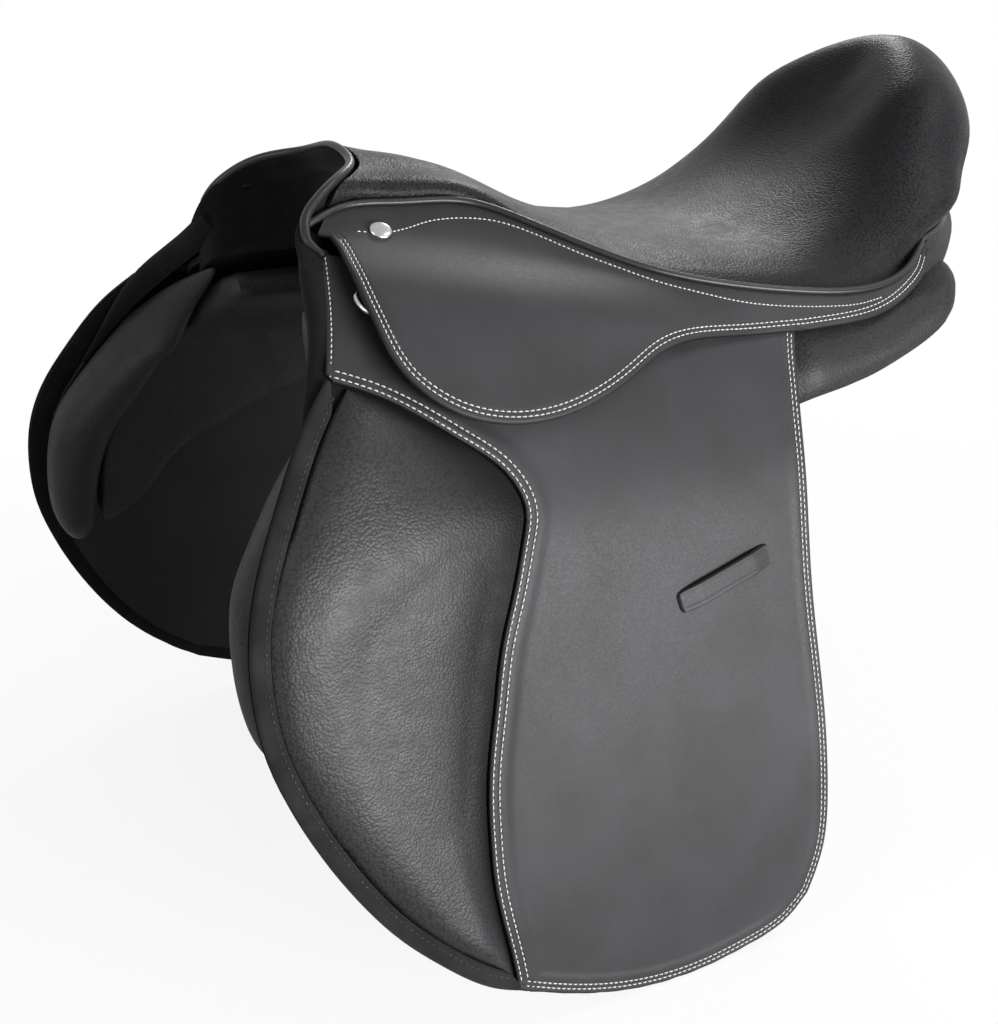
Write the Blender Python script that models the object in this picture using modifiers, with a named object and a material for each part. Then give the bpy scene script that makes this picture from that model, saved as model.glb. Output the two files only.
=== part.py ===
"""Eventing saddle as separate pieces on one spring tree.

Metres, +Z up, +X from pommel to cantle, the near (left) side at negative Y.
The origin is the middle of the horse's back between the two panels.

The flaps, skirts and hidden leaves lie on one curved side face.  A point on
it is given by x, by s (the way down the face from the skirt's top line) and
by n (the distance out of the face).  The outer face of the flap is n = 0.
"""
import bmesh
import bpy
import math
import numpy as np
from mathutils import Matrix, Vector

# Sizes
GAP = 0.0003                 # left between pieces that touch
SIDES = (("left", -1), ("right", 1))

FACE_THICK = 0.0020          # smooth outer leaf of the flap
BACKING_THICK = 0.0020       # inner leaf of the flap
SKIRT_THICK = 0.0035
SKIRT_RISE = 0.0068          # how far the lobe stands off the flap
BILLET_THICK = 0.0032
BILLET_WIDTH = 0.025
SWEAT_THICK = 0.0027
COVER_THICK = 0.0016
SEAT_FOAM = 0.012
TREE_THICK = 0.007
WEB_THICK = 0.0015
PLATE_THICK = 0.004          # steel of the head and the points
BAR_PLATE_THICK = 0.003
THROAT = 0.0066              # room for the stirrup leather behind the bar
BLADE_THICK = 0.0055
BLADE_WIDTH = 0.011
PIPING_RADIUS = 0.0020
PAD_CROWN = 0.0075
BINDING_WIDTH = 0.0095
PANEL_DEPTH = 0.036
ROLL_DEPTH = 0.042
RIVET_RADIUS = 0.0025
NAIL_RADIUS = 0.0058
RING_WIRE = 0.0014
HINGE_CLEAR = 0.0034         # the hinge line lies this far outside the skirt, past the bow of its face

LEAF_GAP = 0.0010            # between the two leaves of the flap, which bend together
LAYER_GAP = 0.0011           # between leaves that hang free of each other
FLAP_INNER = -(FACE_THICK + LEAF_GAP + BACKING_THICK)
BILLET_OUTER = FLAP_INNER - LAYER_GAP
SWEAT_OUTER = BILLET_OUTER - BILLET_THICK - LAYER_GAP
PANEL_OUTER = SWEAT_OUTER - SWEAT_THICK - LAYER_GAP
POINT_OUTER = -0.0150
BAR_SEAT = POINT_OUTER + GAP

# y and z of the side face, from the middle of the saddle down to the flap's foot
SIDE_PROFILE = (
    (0.010, 0.1555), (0.050, 0.1315), (0.069, 0.1200), (0.100, 0.1005),
    (0.125, 0.0845), (0.142, 0.0705), (0.157, 0.0520), (0.170, 0.0280),
    (0.183, -0.0020), (0.196, -0.0570), (0.205, -0.1020), (0.217, -0.1650),
    (0.228, -0.2500), (0.231, -0.2900))

CATCH_PIN = 0.1188           # along the hinge line
BLADE_END = CATCH_PIN + 0.0062
BLADE_STEP = CATCH_PIN - 0.0058

# x and s of the hinge line that the skirt and the flap share
HINGE_FRONT = (-0.2155, 0.0040)
HINGE_REAR = (0.0220, 0.0965)

# x and s of the line where the seat is sewn to the skirt
WELT = (
    (-0.2150, -0.0135), (-0.2040, -0.0180), (-0.1710, -0.0180),
    (-0.1320, -0.0130), (-0.1100, 0.0030), (-0.0890, 0.0220),
    (-0.0540, 0.0500), (-0.0180, 0.0660), (0.0300, 0.0780),
    (0.0850, 0.0810), (0.1120, 0.0720), (0.1380, 0.0520))
# the same line carried on round the cantle, x y z
WELT_REAR = ((0.1580, 0.1070, 0.1005), (0.1860, 0.0840, 0.1075),
             (0.2190, 0.0480, 0.1120), (0.2320, 0.0000, 0.1140))

FLAP_FRONT_TOP = ((-0.2250, 0.0092), (-0.2350, 0.0410), (-0.2530, 0.0880))
FLAP_FRONT = (
    (-0.2530, 0.0880), (-0.2710, 0.1100), (-0.2900, 0.1410),
    (-0.3060, 0.1720), (-0.3145, 0.2010), (-0.3160, 0.2260),
    (-0.3130, 0.2530), (-0.3060, 0.2760), (-0.2860, 0.3180),
    (-0.2580, 0.3580), (-0.2390, 0.3770), (-0.2060, 0.4010))
FLAP_BOTTOM = (
    (-0.2060, 0.4010), (-0.1740, 0.4140), (-0.1240, 0.4280),
    (-0.0850, 0.4300), (-0.0540, 0.4265), (-0.0290, 0.4195),
    (-0.0140, 0.4080))
FLAP_REAR = (
    (0.0180, 0.0980), (0.0160, 0.1020), (0.0080, 0.1300), (0.0030, 0.1600),
    (0.0000, 0.1900), (-0.0010, 0.2250), (0.0000, 0.2580), (0.0025, 0.3100),
    (0.0020, 0.3500), (-0.0030, 0.3850), (-0.0140, 0.4080))
PAD_SEAM = (
    (-0.2530, 0.0880), (-0.2300, 0.1020), (-0.2130, 0.1140),
    (-0.1910, 0.1300), (-0.1755, 0.1470), (-0.1680, 0.1700),
    (-0.1740, 0.1940), (-0.1880, 0.2250), (-0.2000, 0.2560),
    (-0.2085, 0.2950), (-0.2110, 0.3300), (-0.2090, 0.3620),
    (-0.2030, 0.3930))

SKIRT_FRONT = ((-0.2155, 0.0040), (-0.2165, 0.0260), (-0.2190, 0.0640),
               (-0.2190, 0.0830))
SKIRT_LOBE = (
    (-0.2190, 0.0830), (-0.2145, 0.0960), (-0.2060, 0.1075),
    (-0.1940, 0.1160), (-0.1780, 0.1230), (-0.1590, 0.1260),
    (-0.1380, 0.1250), (-0.1160, 0.1200), (-0.0920, 0.1100),
    (-0.0720, 0.1015), (-0.0540, 0.0975), (-0.0240, 0.0978),
    (0.0220, 0.1005))
ROOT_REAR_EDGE = (
    (0.0220, 0.1005), (0.0410, 0.1010), (0.0780, 0.0970), (0.1040, 0.0880),
    (0.1250, 0.0750), (0.1380, 0.0620))

ROLL_FRONT = (
    (-0.2330, 0.0160), (-0.2430, 0.0560), (-0.2610, 0.1050),
    (-0.2900, 0.1490), (-0.3055, 0.1800), (-0.3110, 0.2120),
    (-0.3100, 0.2420), (-0.3020, 0.2720))
ROLL_SEAM = (
    (-0.2270, 0.0160), (-0.2320, 0.0560), (-0.2400, 0.1000),
    (-0.2530, 0.1380), (-0.2680, 0.1720), (-0.2790, 0.2070),
    (-0.2830, 0.2380), (-0.2815, 0.2660))

# seat lines across the saddle behind the head's rim: spine, inner, middle, rim; x y z each
SEAT_LINES = (
    ((-0.162, 0.000, 0.1530), (-0.164, 0.018, 0.1515), (-0.168, 0.036, 0.1470), (-0.176, 0.052, 0.1410)),
    ((-0.125, 0.000, 0.1445), (-0.126, 0.020, 0.1440), (-0.129, 0.038, 0.1410), (-0.133, 0.054, 0.1370)),
    ((-0.085, 0.000, 0.1265), (-0.087, 0.022, 0.1260), (-0.091, 0.043, 0.1245), (-0.096, 0.061, 0.1215)),
    ((-0.045, 0.000, 0.1125), (-0.047, 0.027, 0.1118), (-0.051, 0.054, 0.1100), (-0.057, 0.078, 0.1055)),
    ((-0.005, 0.000, 0.1080), (-0.007, 0.030, 0.1062), (-0.011, 0.062, 0.1022), (-0.016, 0.095, 0.0970)),
    ((0.033, 0.000, 0.1075), (0.032, 0.035, 0.1050), (0.028, 0.072, 0.0985), (0.022, 0.108, 0.0915)),
    ((0.066, 0.000, 0.1120), (0.066, 0.038, 0.1105), (0.065, 0.078, 0.1035), (0.062, 0.114, 0.0910)),
    ((0.096, 0.000, 0.1205), (0.097, 0.038, 0.1215), (0.098, 0.076, 0.1165), (0.099, 0.108, 0.1025)),
    ((0.121, 0.000, 0.1325), (0.124, 0.036, 0.1365), (0.129, 0.070, 0.1385), (0.134, 0.098, 0.1270),
     (0.1435, 0.1165, 0.1085)),
    ((0.146, 0.000, 0.1500), (0.152, 0.030, 0.1590), (0.161, 0.060, 0.1740), (0.173, 0.080, 0.1685),
     (0.1945, 0.0885, 0.1400)),
    ((0.158, 0.000, 0.1610), (0.170, 0.019, 0.1765), (0.187, 0.037, 0.1940), (0.209, 0.052, 0.1855),
     (0.2255, 0.0570, 0.1520)),
    ((0.164, 0.000, 0.1670), (0.182, 0.000, 0.1860), (0.202, 0.000, 0.2030), (0.228, 0.000, 0.1970),
     (0.2440, 0.0000, 0.1600)))
SEAT_WELT_X = (-0.1975, -0.1800, -0.1360, -0.1040, -0.0660, -0.0220, 0.0180,
               0.0650, 0.1050, 0.1370)

# the front rim of the head, middle to flap corner, x y z
POMMEL = (
    (-0.1800, 0.0000, 0.1565), (-0.1840, 0.0310, 0.1510),
    (-0.1960, 0.0460, 0.1475), (-0.2075, 0.0545, 0.1430),
    (-0.2170, 0.0595, 0.1370), (-0.2230, 0.0630, 0.1315),
    (-0.2265, 0.0690, 0.1245), (-0.2275, 0.0800, 0.1140))
# y and z of the steel arch under the head, middle to foot
ARCH = ((0.0000, 0.1330), (0.0180, 0.1311), (0.0330, 0.1240),
        (0.0480, 0.1110), (0.0760, 0.0925), (0.0900, 0.0835))


# Curves
def cubic(points, values):
    """Natural cubic through points given at values; returns a function."""
    points = np.asarray(points, float)
    values = np.asarray(values, float)
    count = len(values)
    step = np.diff(values)
    matrix = np.eye(count)
    right = np.zeros_like(points)
    for i in range(1, count - 1):
        matrix[i, i - 1] = step[i - 1]
        matrix[i, i] = 2 * (step[i - 1] + step[i])
        matrix[i, i + 1] = step[i]
        right[i] = 6 * ((points[i + 1] - points[i]) / step[i] - (points[i] - points[i - 1]) / step[i - 1])
    bend = np.linalg.solve(matrix, right)

    def at(where):
        where = np.atleast_1d(where)
        i = np.clip(np.searchsorted(values, where) - 1, 0, count - 2)
        h = step[i][:, None]
        a = (values[i + 1] - where)[:, None]
        b = (where - values[i])[:, None]
        return ((bend[i] * a ** 3 + bend[i + 1] * b ** 3) / (6 * h)
                + (points[i] / h - bend[i] * h / 6) * a
                + (points[i + 1] / h - bend[i + 1] * h / 6) * b)
    return at


def run_length(points):
    steps = np.linalg.norm(np.diff(np.asarray(points, float), axis=0), axis=1)
    return np.concatenate(([0.0], np.cumsum(steps)))


def smooth(points, count):
    """The same line with count even samples on a smooth curve."""
    along = run_length(points)
    fine = cubic(points, along)(np.linspace(0, along[-1], 400))
    length = run_length(fine)
    want = np.linspace(0, length[-1], count)
    return np.stack([np.interp(want, length, fine[:, k]) for k in range(fine.shape[1])], 1)


def straight(start, end, count):
    share = np.linspace(0, 1, count)[:, None]
    return np.asarray(start) * (1 - share) + np.asarray(end) * share


def part_line(points, low, high, count):
    """Even samples between two shares of a smooth line."""
    fine = smooth(points, 401)
    want = np.linspace(low, high, count) * 400
    return np.stack([np.interp(want, np.arange(401), fine[:, k]) for k in range(fine.shape[1])], 1)


def patch(top, bottom, left, right, shares=None):
    """Grid filling four edge lines; rows run from top to bottom, evenly or at the given shares."""
    rows = len(left)
    cols = len(top)
    u = np.linspace(0, 1, cols)[None, :, None]
    v = (np.linspace(0, 1, rows) if shares is None else shares)[:, None, None]
    ruled_down = top[None] * (1 - v) + bottom[None] * v
    ruled_over = left[:, None] * (1 - u) + right[:, None] * u
    corners = ((top[0] * (1 - u) + top[-1] * u) * (1 - v)
               + (bottom[0] * (1 - u) + bottom[-1] * u) * v)
    return ruled_down + ruled_over - corners


def inset_line(points, width):
    """A line moved sideways to the right of its run."""
    points = np.asarray(points)
    way = np.gradient(points, axis=0)
    way /= np.linalg.norm(way, axis=1)[:, None]
    return points + width * np.stack([-way[:, 1], way[:, 0]], 1)


def build_side():
    fine_at = run_length(SIDE_PROFILE)
    fine = cubic(SIDE_PROFILE, fine_at)(np.linspace(0, fine_at[-1], 1200))
    length = run_length(fine)
    # s is zero at the third profile point
    zero = np.interp(fine_at[2], np.linspace(0, fine_at[-1], 1200), length)
    way = np.gradient(fine, length, axis=0)
    way /= np.linalg.norm(way, axis=1)[:, None]
    return length - zero, fine, way


SIDE_S, SIDE_YZ, SIDE_WAY = build_side()


def on_side(x, s, n, side):
    y, z = (float(np.interp(s, SIDE_S, SIDE_YZ[:, k])) for k in (0, 1))
    wy, wz = (float(np.interp(s, SIDE_S, SIDE_WAY[:, k])) for k in (0, 1))
    return Vector((float(x), side * (y - wz * n), z + wy * n))


def hinge_s(x):
    """s of the hinge line at x."""
    slope = (HINGE_REAR[1] - HINGE_FRONT[1]) / (HINGE_REAR[0] - HINGE_FRONT[0])
    return HINGE_FRONT[1] + slope * (x - HINGE_FRONT[0])


HINGE_OUT = 2 * GAP + SKIRT_THICK + HINGE_CLEAR


def hinge_frame(side):
    """Start, run, down and out directions of the hinge line."""
    start = on_side(*HINGE_FRONT, HINGE_OUT, side)
    end = on_side(*HINGE_REAR, HINGE_OUT, side)
    run = (end - start).normalized()
    lower = on_side(-0.13, hinge_s(-0.13) + 0.03, HINGE_OUT, side)
    down = lower - start
    down -= run * down.dot(run)
    down.normalize()
    out = run.cross(down) * side
    return start, run, down, out


def at_hinge(side, a, u, n):
    """A point a along the hinge line, u down from it and n out of the flap's face."""
    start, run, down, out = hinge_frame(side)
    return start + run * a + down * u + out * (n - HINGE_OUT)


# Objects
for old in list(bpy.data.objects):
    bpy.data.objects.remove(old, do_unlink=True)
parts = bpy.data.collections.new("eventing_saddle")
cutters = bpy.data.collections.new("cutters")
bpy.context.scene.collection.children.link(parts)
bpy.context.scene.collection.children.link(cutters)

LEATHER = ((0.045, 0.045, 0.048), 0.45, 0.0)
GRAIN = ((0.040, 0.041, 0.044), 0.50, 0.0)
LINING = ((0.010, 0.010, 0.011), 0.85, 0.0)
WELTING = ((0.012, 0.012, 0.013), 0.35, 0.0)
STEEL = ((0.42, 0.42, 0.43), 0.38, 1.0)
BRIGHT = ((0.70, 0.70, 0.71), 0.22, 1.0)
FOAM = ((0.60, 0.56, 0.42), 0.95, 0.0)
WOOD = ((0.36, 0.22, 0.11), 0.70, 0.0)
WEB = ((0.50, 0.47, 0.40), 0.90, 0.0)


def finish(thing, look, flat=False):
    colour, rough, metal = look
    material = bpy.data.materials.new(thing.name + "_material")
    material.use_nodes = True
    shader = material.node_tree.nodes["Principled BSDF"]
    shader.inputs["Base Color"].default_value = (*colour, 1.0)
    shader.inputs["Roughness"].default_value = rough
    shader.inputs["Metallic"].default_value = metal
    thing.data.materials.append(material)
    if thing.type == "MESH" and not flat:
        for face in thing.data.polygons:
            face.use_smooth = True
    return thing


def add_mesh(name, points, faces, group=None):
    mesh = bpy.data.meshes.new(name)
    mesh.from_pydata([tuple(p) for p in points], [], faces)
    bm = bmesh.new()
    bm.from_mesh(mesh)
    bmesh.ops.remove_doubles(bm, verts=bm.verts, dist=1e-6)
    bmesh.ops.recalc_face_normals(bm, faces=bm.faces)
    bm.to_mesh(mesh)
    bm.free()
    thing = bpy.data.objects.new(name, mesh)
    (group or parts).objects.link(thing)
    return thing


def sheet(name, grid, thick, outward, look):
    """A leather leaf: its outer face is the grid, its body lies behind it."""
    rows, cols = len(grid), len(grid[0])
    points = [p for row in grid for p in row]
    faces = []
    for i in range(rows - 1):
        for j in range(cols - 1):
            faces.append((i * cols + j, i * cols + j + 1, (i + 1) * cols + j + 1, (i + 1) * cols + j))
    mesh = bpy.data.meshes.new(name)
    mesh.from_pydata([tuple(p) for p in points], [], faces)
    bm = bmesh.new()
    bm.from_mesh(mesh)
    bmesh.ops.remove_doubles(bm, verts=bm.verts, dist=1e-6)
    bm.normal_update()
    total = sum((face.normal * face.calc_area() for face in bm.faces), Vector())
    if total.dot(Vector(outward)) < 0:
        bmesh.ops.reverse_faces(bm, faces=bm.faces)
    bm.to_mesh(mesh)
    bm.free()
    thing = bpy.data.objects.new(name, mesh)
    parts.objects.link(thing)
    shell = thing.modifiers.new("thickness", "SOLIDIFY")
    shell.thickness = thick
    shell.offset = -1.0
    shell.use_even_offset = True
    return finish(thing, look)


def leaf(name, plan, n_outer, thick, side, look, rise=None):
    """A sheet whose plan is a grid of x and s on the side face."""
    grid = []
    for row in plan:
        line = []
        for x, s in row:
            lift = rise(x, s) if rise else 0.0
            line.append(on_side(x, s, n_outer + lift, side))
        grid.append(line)
    return sheet(name, grid, thick, (0, side, 0.3), look)


def block(name, upper, lower, look, flat=False, fold=False):
    """A solid between two grids of the same size; folded, its last row closes on itself."""
    rows, cols = len(upper), len(upper[0])
    points = [p for row in upper for p in row] + [p for row in lower for p in row]
    base = rows * cols
    faces = []
    for i in range(rows - 1):
        for j in range(cols - 1):
            a, b, c, d = i * cols + j, i * cols + j + 1, (i + 1) * cols + j + 1, (i + 1) * cols + j
            faces.append((a, b, c, d))
            faces.append((base + a, base + d, base + c, base + b))
    rim = [(0, j) for j in range(cols)] + [(i, cols - 1) for i in range(1, rows)]
    rim += [(rows - 1, j) for j in range(cols - 2, -1, -1)] + [(i, 0) for i in range(rows - 2, 0, -1)]
    for k, (i, j) in enumerate(rim):
        p, q = rim[(k + 1) % len(rim)]
        if fold and i == rows - 1 and p == rows - 1:
            continue
        faces.append((i * cols + j, base + i * cols + j, base + p * cols + q, p * cols + q))
    return finish(add_mesh(name, points, faces), look, flat)


def loft(name, rings, look):
    """A cushion through closed rings, its ends closed by fans."""
    count = len(rings[0])
    points = [p for ring in rings for p in ring]
    faces = []
    for i in range(len(rings) - 1):
        for j in range(count):
            k = (j + 1) % count
            faces.append((i * count + j, i * count + k, (i + 1) * count + k, (i + 1) * count + j))
    for first, ring in ((0, rings[0]), ((len(rings) - 1) * count, rings[-1])):
        points.append(sum((Vector(p) for p in ring), Vector()) / count)
        for j in range(count):
            faces.append((first + j, first + (j + 1) % count, len(points) - 1))
    return finish(add_mesh(name, points, faces), look)


def tube(name, points, radius, look, closed=False, sides=2):
    """A round cord along a line of points."""
    data = bpy.data.curves.new(name, "CURVE")
    data.dimensions = "3D"
    data.bevel_depth = radius
    data.bevel_resolution = sides
    data.use_fill_caps = True
    line = data.splines.new("POLY")
    line.points.add(len(points) - 1)
    for spot, p in zip(line.points, points):
        spot.co = (*p, 1.0)
    line.use_cyclic_u = closed
    thing = bpy.data.objects.new(name, data)
    parts.objects.link(thing)
    return finish(thing, look)


def as_mesh(thing):
    """A curve object turned into a closed mesh object of the same name."""
    bpy.context.view_layer.update()
    seen = thing.evaluated_get(bpy.context.evaluated_depsgraph_get())
    mesh = bpy.data.meshes.new_from_object(seen)
    bm = bmesh.new()
    bm.from_mesh(mesh)
    bmesh.ops.remove_doubles(bm, verts=bm.verts, dist=1e-6)
    bmesh.ops.recalc_face_normals(bm, faces=bm.faces)
    bm.to_mesh(mesh)
    bm.free()
    name, place, group = thing.name, thing.matrix_world.copy(), thing.users_collection[0]
    bpy.data.objects.remove(thing, do_unlink=True)
    result = bpy.data.objects.new(name, mesh)
    result.matrix_world = place
    group.objects.link(result)
    return result


def plate(name, outline, thick, place, look=None):
    """A flat outline drawn out to a thickness, centred on its place; a cutter without a look."""
    data = bpy.data.curves.new(name, "CURVE")
    data.dimensions = "2D"
    data.fill_mode = "BOTH"
    data.extrude = thick / 2
    line = data.splines.new("POLY")
    line.points.add(len(outline) - 1)
    for spot, (a, u) in zip(line.points, outline):
        spot.co = (a, u, 0.0, 1.0)
    line.use_cyclic_u = True
    thing = bpy.data.objects.new(name, data)
    (parts if look else cutters).objects.link(thing)
    thing.matrix_world = place
    thing = as_mesh(thing)
    if look:
        finish(thing, look, True)
    return thing


def drill(name, radius, low, high, place, sides=12):
    """A round cutter between two heights of its place."""
    bm = bmesh.new()
    bmesh.ops.create_cone(bm, cap_ends=True, segments=sides, radius1=radius, radius2=radius, depth=high - low)
    mesh = bpy.data.meshes.new(name)
    bm.to_mesh(mesh)
    bm.free()
    thing = bpy.data.objects.new(name, mesh)
    cutters.objects.link(thing)
    thing.matrix_world = place @ Matrix.Translation((0, 0, (low + high) / 2))
    return thing


def turned(name, profile, place, look, steps=16):
    """A turned piece; its profile is radius and height, listed from the top down."""
    mesh = bpy.data.meshes.new(name)
    mesh.from_pydata([(r, 0, h) for r, h in profile], [(i, i + 1) for i in range(len(profile) - 1)], [])
    thing = bpy.data.objects.new(name, mesh)
    parts.objects.link(thing)
    thing.matrix_world = place
    lathe = thing.modifiers.new("lathe", "SCREW")
    lathe.axis = "Z"
    lathe.steps = steps
    lathe.render_steps = steps
    lathe.use_merge_vertices = True
    lathe.merge_threshold = 0.00001
    return finish(thing, look)


def frame_of(origin, first, third):
    """Matrix with its x along first and its z along third."""
    third = third.normalized()
    second = third.cross(first).normalized()
    first = second.cross(third)
    matrix = Matrix((first, second, third)).transposed().to_4x4()
    matrix.translation = origin
    return matrix


def hinge_flat(side, a, u, n):
    """Frame in the hinge plane whose x runs along the hinge and y down from it."""
    _, run, down, _ = hinge_frame(side)
    return frame_of(at_hinge(side, a, u, n), run, run.cross(down))


def hinge_out(side, a, u, n):
    """Frame in the hinge plane whose z points out of the saddle."""
    _, run, _, out = hinge_frame(side)
    return frame_of(at_hinge(side, a, u, n), run, out)


def rounded(outline, radius, steps=3):
    """Corner points of a closed outline replaced by short arcs."""
    result = []
    count = len(outline)
    for i in range(count):
        before = Vector(outline[i - 1])
        here = Vector(outline[i])
        after = Vector(outline[(i + 1) % count])
        first = here + (before - here).normalized() * radius
        last = here + (after - here).normalized() * radius
        for k in range(steps + 1):
            t = k / steps
            result.append(tuple(first * (1 - t) ** 2 + here * 2 * t * (1 - t) + last * t ** 2))
    return result


def cut(thing, cutter):
    cutter.display_type = "WIRE"
    cutter.hide_render = True
    tool = thing.modifiers.new("cut_" + cutter.name, "BOOLEAN")
    tool.operation = "DIFFERENCE"
    tool.solver = "EXACT"
    tool.object = cutter


def soften(thing, width, segments=1):
    edge = thing.modifiers.new("edge", "BEVEL")
    edge.width = width
    edge.segments = segments
    edge.limit_method = "ANGLE"
    edge.angle_limit = math.radians(50)


def carried(thing, pivot):
    """Put a moving piece's own origin on its joint axis."""
    thing.data.transform(Matrix.Translation(-pivot))
    thing.location = pivot
    return thing


# Seat
def seat_edge(x):
    """Where the seat's cover is sewn down, just above the welt."""
    line = smooth(WELT, 401)
    return on_side(x, float(np.interp(x, line[:, 0], line[:, 1])) - 0.0036, 0.0012, 1)


SEAT_ROWS = 21
SEAT_COLS = 9


def seat_line(points):
    """One line from spine to welt, level where it meets its own mirror image."""
    points = np.asarray(points, float)
    if abs(points[-1, 1]) < 1e-6:
        return smooth(points, SEAT_COLS)
    whole = np.concatenate([points[:0:-1] * (1, -1, 1), points])
    return part_line(whole, 0.5, 1.0, SEAT_COLS)


def seat_surface():
    """Outer face of the seat, far half: rows run pommel to cantle, columns spine to welt."""
    lines = []
    rim = smooth(POMMEL, 61) + (0.0046, 0, 0)
    first = [tuple(np.interp(y, rim[:, 1], rim[:, k]) for k in range(3)) for y in (0.0, 0.020, 0.036, 0.047)]
    for i, line in enumerate((tuple(first),) + SEAT_LINES):
        if i < len(SEAT_WELT_X):
            edge = seat_edge(SEAT_WELT_X[i])
        else:
            edge = Vector(WELT_REAR[i - len(SEAT_WELT_X) + 1])
        lines.append(seat_line(list(line) + [tuple(edge)]))
    lines += [line * (1, -1, 1) for line in lines[-2:-4:-1]]
    lines = np.asarray(lines)
    along = run_length(lines[:, SEAT_COLS // 2])
    want = np.linspace(0, along[-3], SEAT_ROWS)
    flat = cubic(lines.reshape(len(lines), -1), along)(want)
    surface = flat.reshape(SEAT_ROWS, SEAT_COLS, 3)
    surface[:, 0, 1] = 0.0
    surface[-1, :, 1] = 0.0
    return surface


def middle_normals(line):
    """Upward normals of a line that lies on the middle plane."""
    way = np.gradient(line, axis=0)
    normal = np.stack([-way[:, 2], np.zeros(len(line)), way[:, 0]], 1)
    return normal / np.linalg.norm(normal, axis=1)[:, None]


def seat_normals(surface):
    over = np.gradient(surface, axis=1)
    down = np.gradient(surface, axis=0)
    normal = np.cross(down, over)
    normal[:, 0] = middle_normals(surface[:, 0])
    normal[-1] = middle_normals(surface[-1])
    return normal / np.linalg.norm(normal, axis=2)[:, :, None]


SEAT = seat_surface()
SEAT_NORMAL = seat_normals(SEAT)


def seat_layer(depth, last):
    """Grid of the whole seat at a depth under its face, up to a column."""
    share = np.linspace(0, 1, SEAT_COLS)
    layer = SEAT - SEAT_NORMAL * np.array([depth(v) for v in share])[None, :, None]
    layer = layer[:, :last]
    near = layer * np.array([1, -1, 1])
    return np.concatenate([near[:, :0:-1], layer], 1)


def foam_depth(v):
    return SEAT_FOAM * (1 - 0.62 * max(0.0, (v - 0.55) / 0.45) ** 1.5)


def edge_in(grid, amount):
    """Pull the outermost columns up the surface so the layer ends short of the welt."""
    grid = grid.copy()
    for edge, near in ((0, 1), (-1, -2)):
        way = grid[:, near] - grid[:, edge]
        grid[:, edge] += way * (amount / np.linalg.norm(way, axis=1))[:, None]
    return grid


def seat():
    cover = edge_in(seat_layer(lambda v: 0.0, SEAT_COLS), 0.0008)
    sheet("seat_cover", cover, COVER_THICK, (0, 0, 1), GRAIN)
    top = COVER_THICK + 3 * GAP
    upper = seat_layer(lambda v: top, SEAT_COLS - 1)
    lower = seat_layer(lambda v: top + foam_depth(v), SEAT_COLS - 1)
    upper, lower = upper[1:], lower[1:]
    block("seat_foam", upper, lower, FOAM, fold=True)
    shell_top = seat_layer(lambda v: top + foam_depth(v) + 2 * GAP, SEAT_COLS - 2)[1:]
    shell_low = seat_layer(lambda v: top + foam_depth(v) + 2 * GAP + TREE_THICK, SEAT_COLS - 2)[1:]
    tree = block("tree_shell", shell_top, shell_low, WOOD, fold=True)
    opening = rounded([(-0.085, -0.030), (0.085, -0.034), (0.085, 0.034), (-0.085, 0.030)], 0.028, 6)
    hole = plate("tree_opening", opening, 0.2, Matrix.Translation((0, 0, 0.1)))
    cut(tree, hole)


seat()


CROSS_Y = (-0.046, -0.038, -0.028, -0.014, 0.0, 0.014, 0.028, 0.038, 0.046)


def webbing():
    """Webbing nailed under the tree that carries the seat over its opening."""
    depth = COVER_THICK + 6 * GAP + SEAT_FOAM + TREE_THICK + 0.0012
    spine = SEAT[:, 0] - SEAT_NORMAL[:, 0] * depth
    rows = [p for p in spine if -0.100 < p[0] < 0.110]
    long_grid = [[(p[0], y, p[2]) for y in (-0.020, 0.0, 0.020)] for p in rows]
    long_strap = sheet("webbing", long_grid, WEB_THICK, (0, 0, 1), WEB)
    cross_grid = []
    for x in (-0.030, -0.005, 0.020):
        nearest = SEAT[int(np.argmin(abs(SEAT[:, 0, 0] - x)))]
        middle = float(np.interp(x, spine[:, 0], spine[:, 2])) - 0.0002
        fall = [float(np.interp(abs(y), nearest[:, 1], nearest[:, 2])) - nearest[0, 2] for y in CROSS_Y]
        cross_grid.append([(x, y, middle + min(0.0, drop) * 1.1) for y, drop in zip(CROSS_Y, fall)])
    cross = sheet("webbing_cross", cross_grid, WEB_THICK, (0, 0, 1), WEB)
    parts.objects.unlink(cross)
    cutters.objects.link(cross)
    cross.hide_render = True
    cross.display_type = "WIRE"
    join = long_strap.modifiers.new("cross", "BOOLEAN")
    join.operation = "UNION"
    join.solver = "EXACT"
    join.object = cross


def mirrored(line):
    """A half line from the middle out, carried over to the near side."""
    line = np.asarray(line, float)
    return np.concatenate([line[:0:-1] * (1, -1, 1), line])


def pipings():
    welt = [on_side(x, s + 0.0001, 0.0048, 1) for x, s in part_line(WELT, 0.020, 1.0, 22)]
    rear = smooth([welt[-1]] + [Vector(p) + Vector((0.0008, 0.0, -0.0036)) for p in WELT_REAR], 9)[1:]
    whole = mirrored(np.asarray([tuple(p) for p in welt] + [tuple(p) for p in rear])[::-1])
    tube("seat_welt", whole, PIPING_RADIUS, WELTING, sides=1)
    rim = smooth(mirrored(POMMEL), 45) + (-0.0028, 0, 0.0002)
    tube("pommel_piping", rim, PIPING_RADIUS, WELTING)


def arch_x(y):
    """Front edge of the head at a distance from the middle."""
    line = smooth(POMMEL, 61)
    return float(np.interp(abs(y), line[:, 1], line[:, 0]))


def spine_drop(first, x):
    """How much lower the seat's spine is at x than at first."""
    line = SEAT[:, 0]
    return float(np.interp(first, line[:, 0], line[:, 2]) - np.interp(x, line[:, 0], line[:, 2]))


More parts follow.
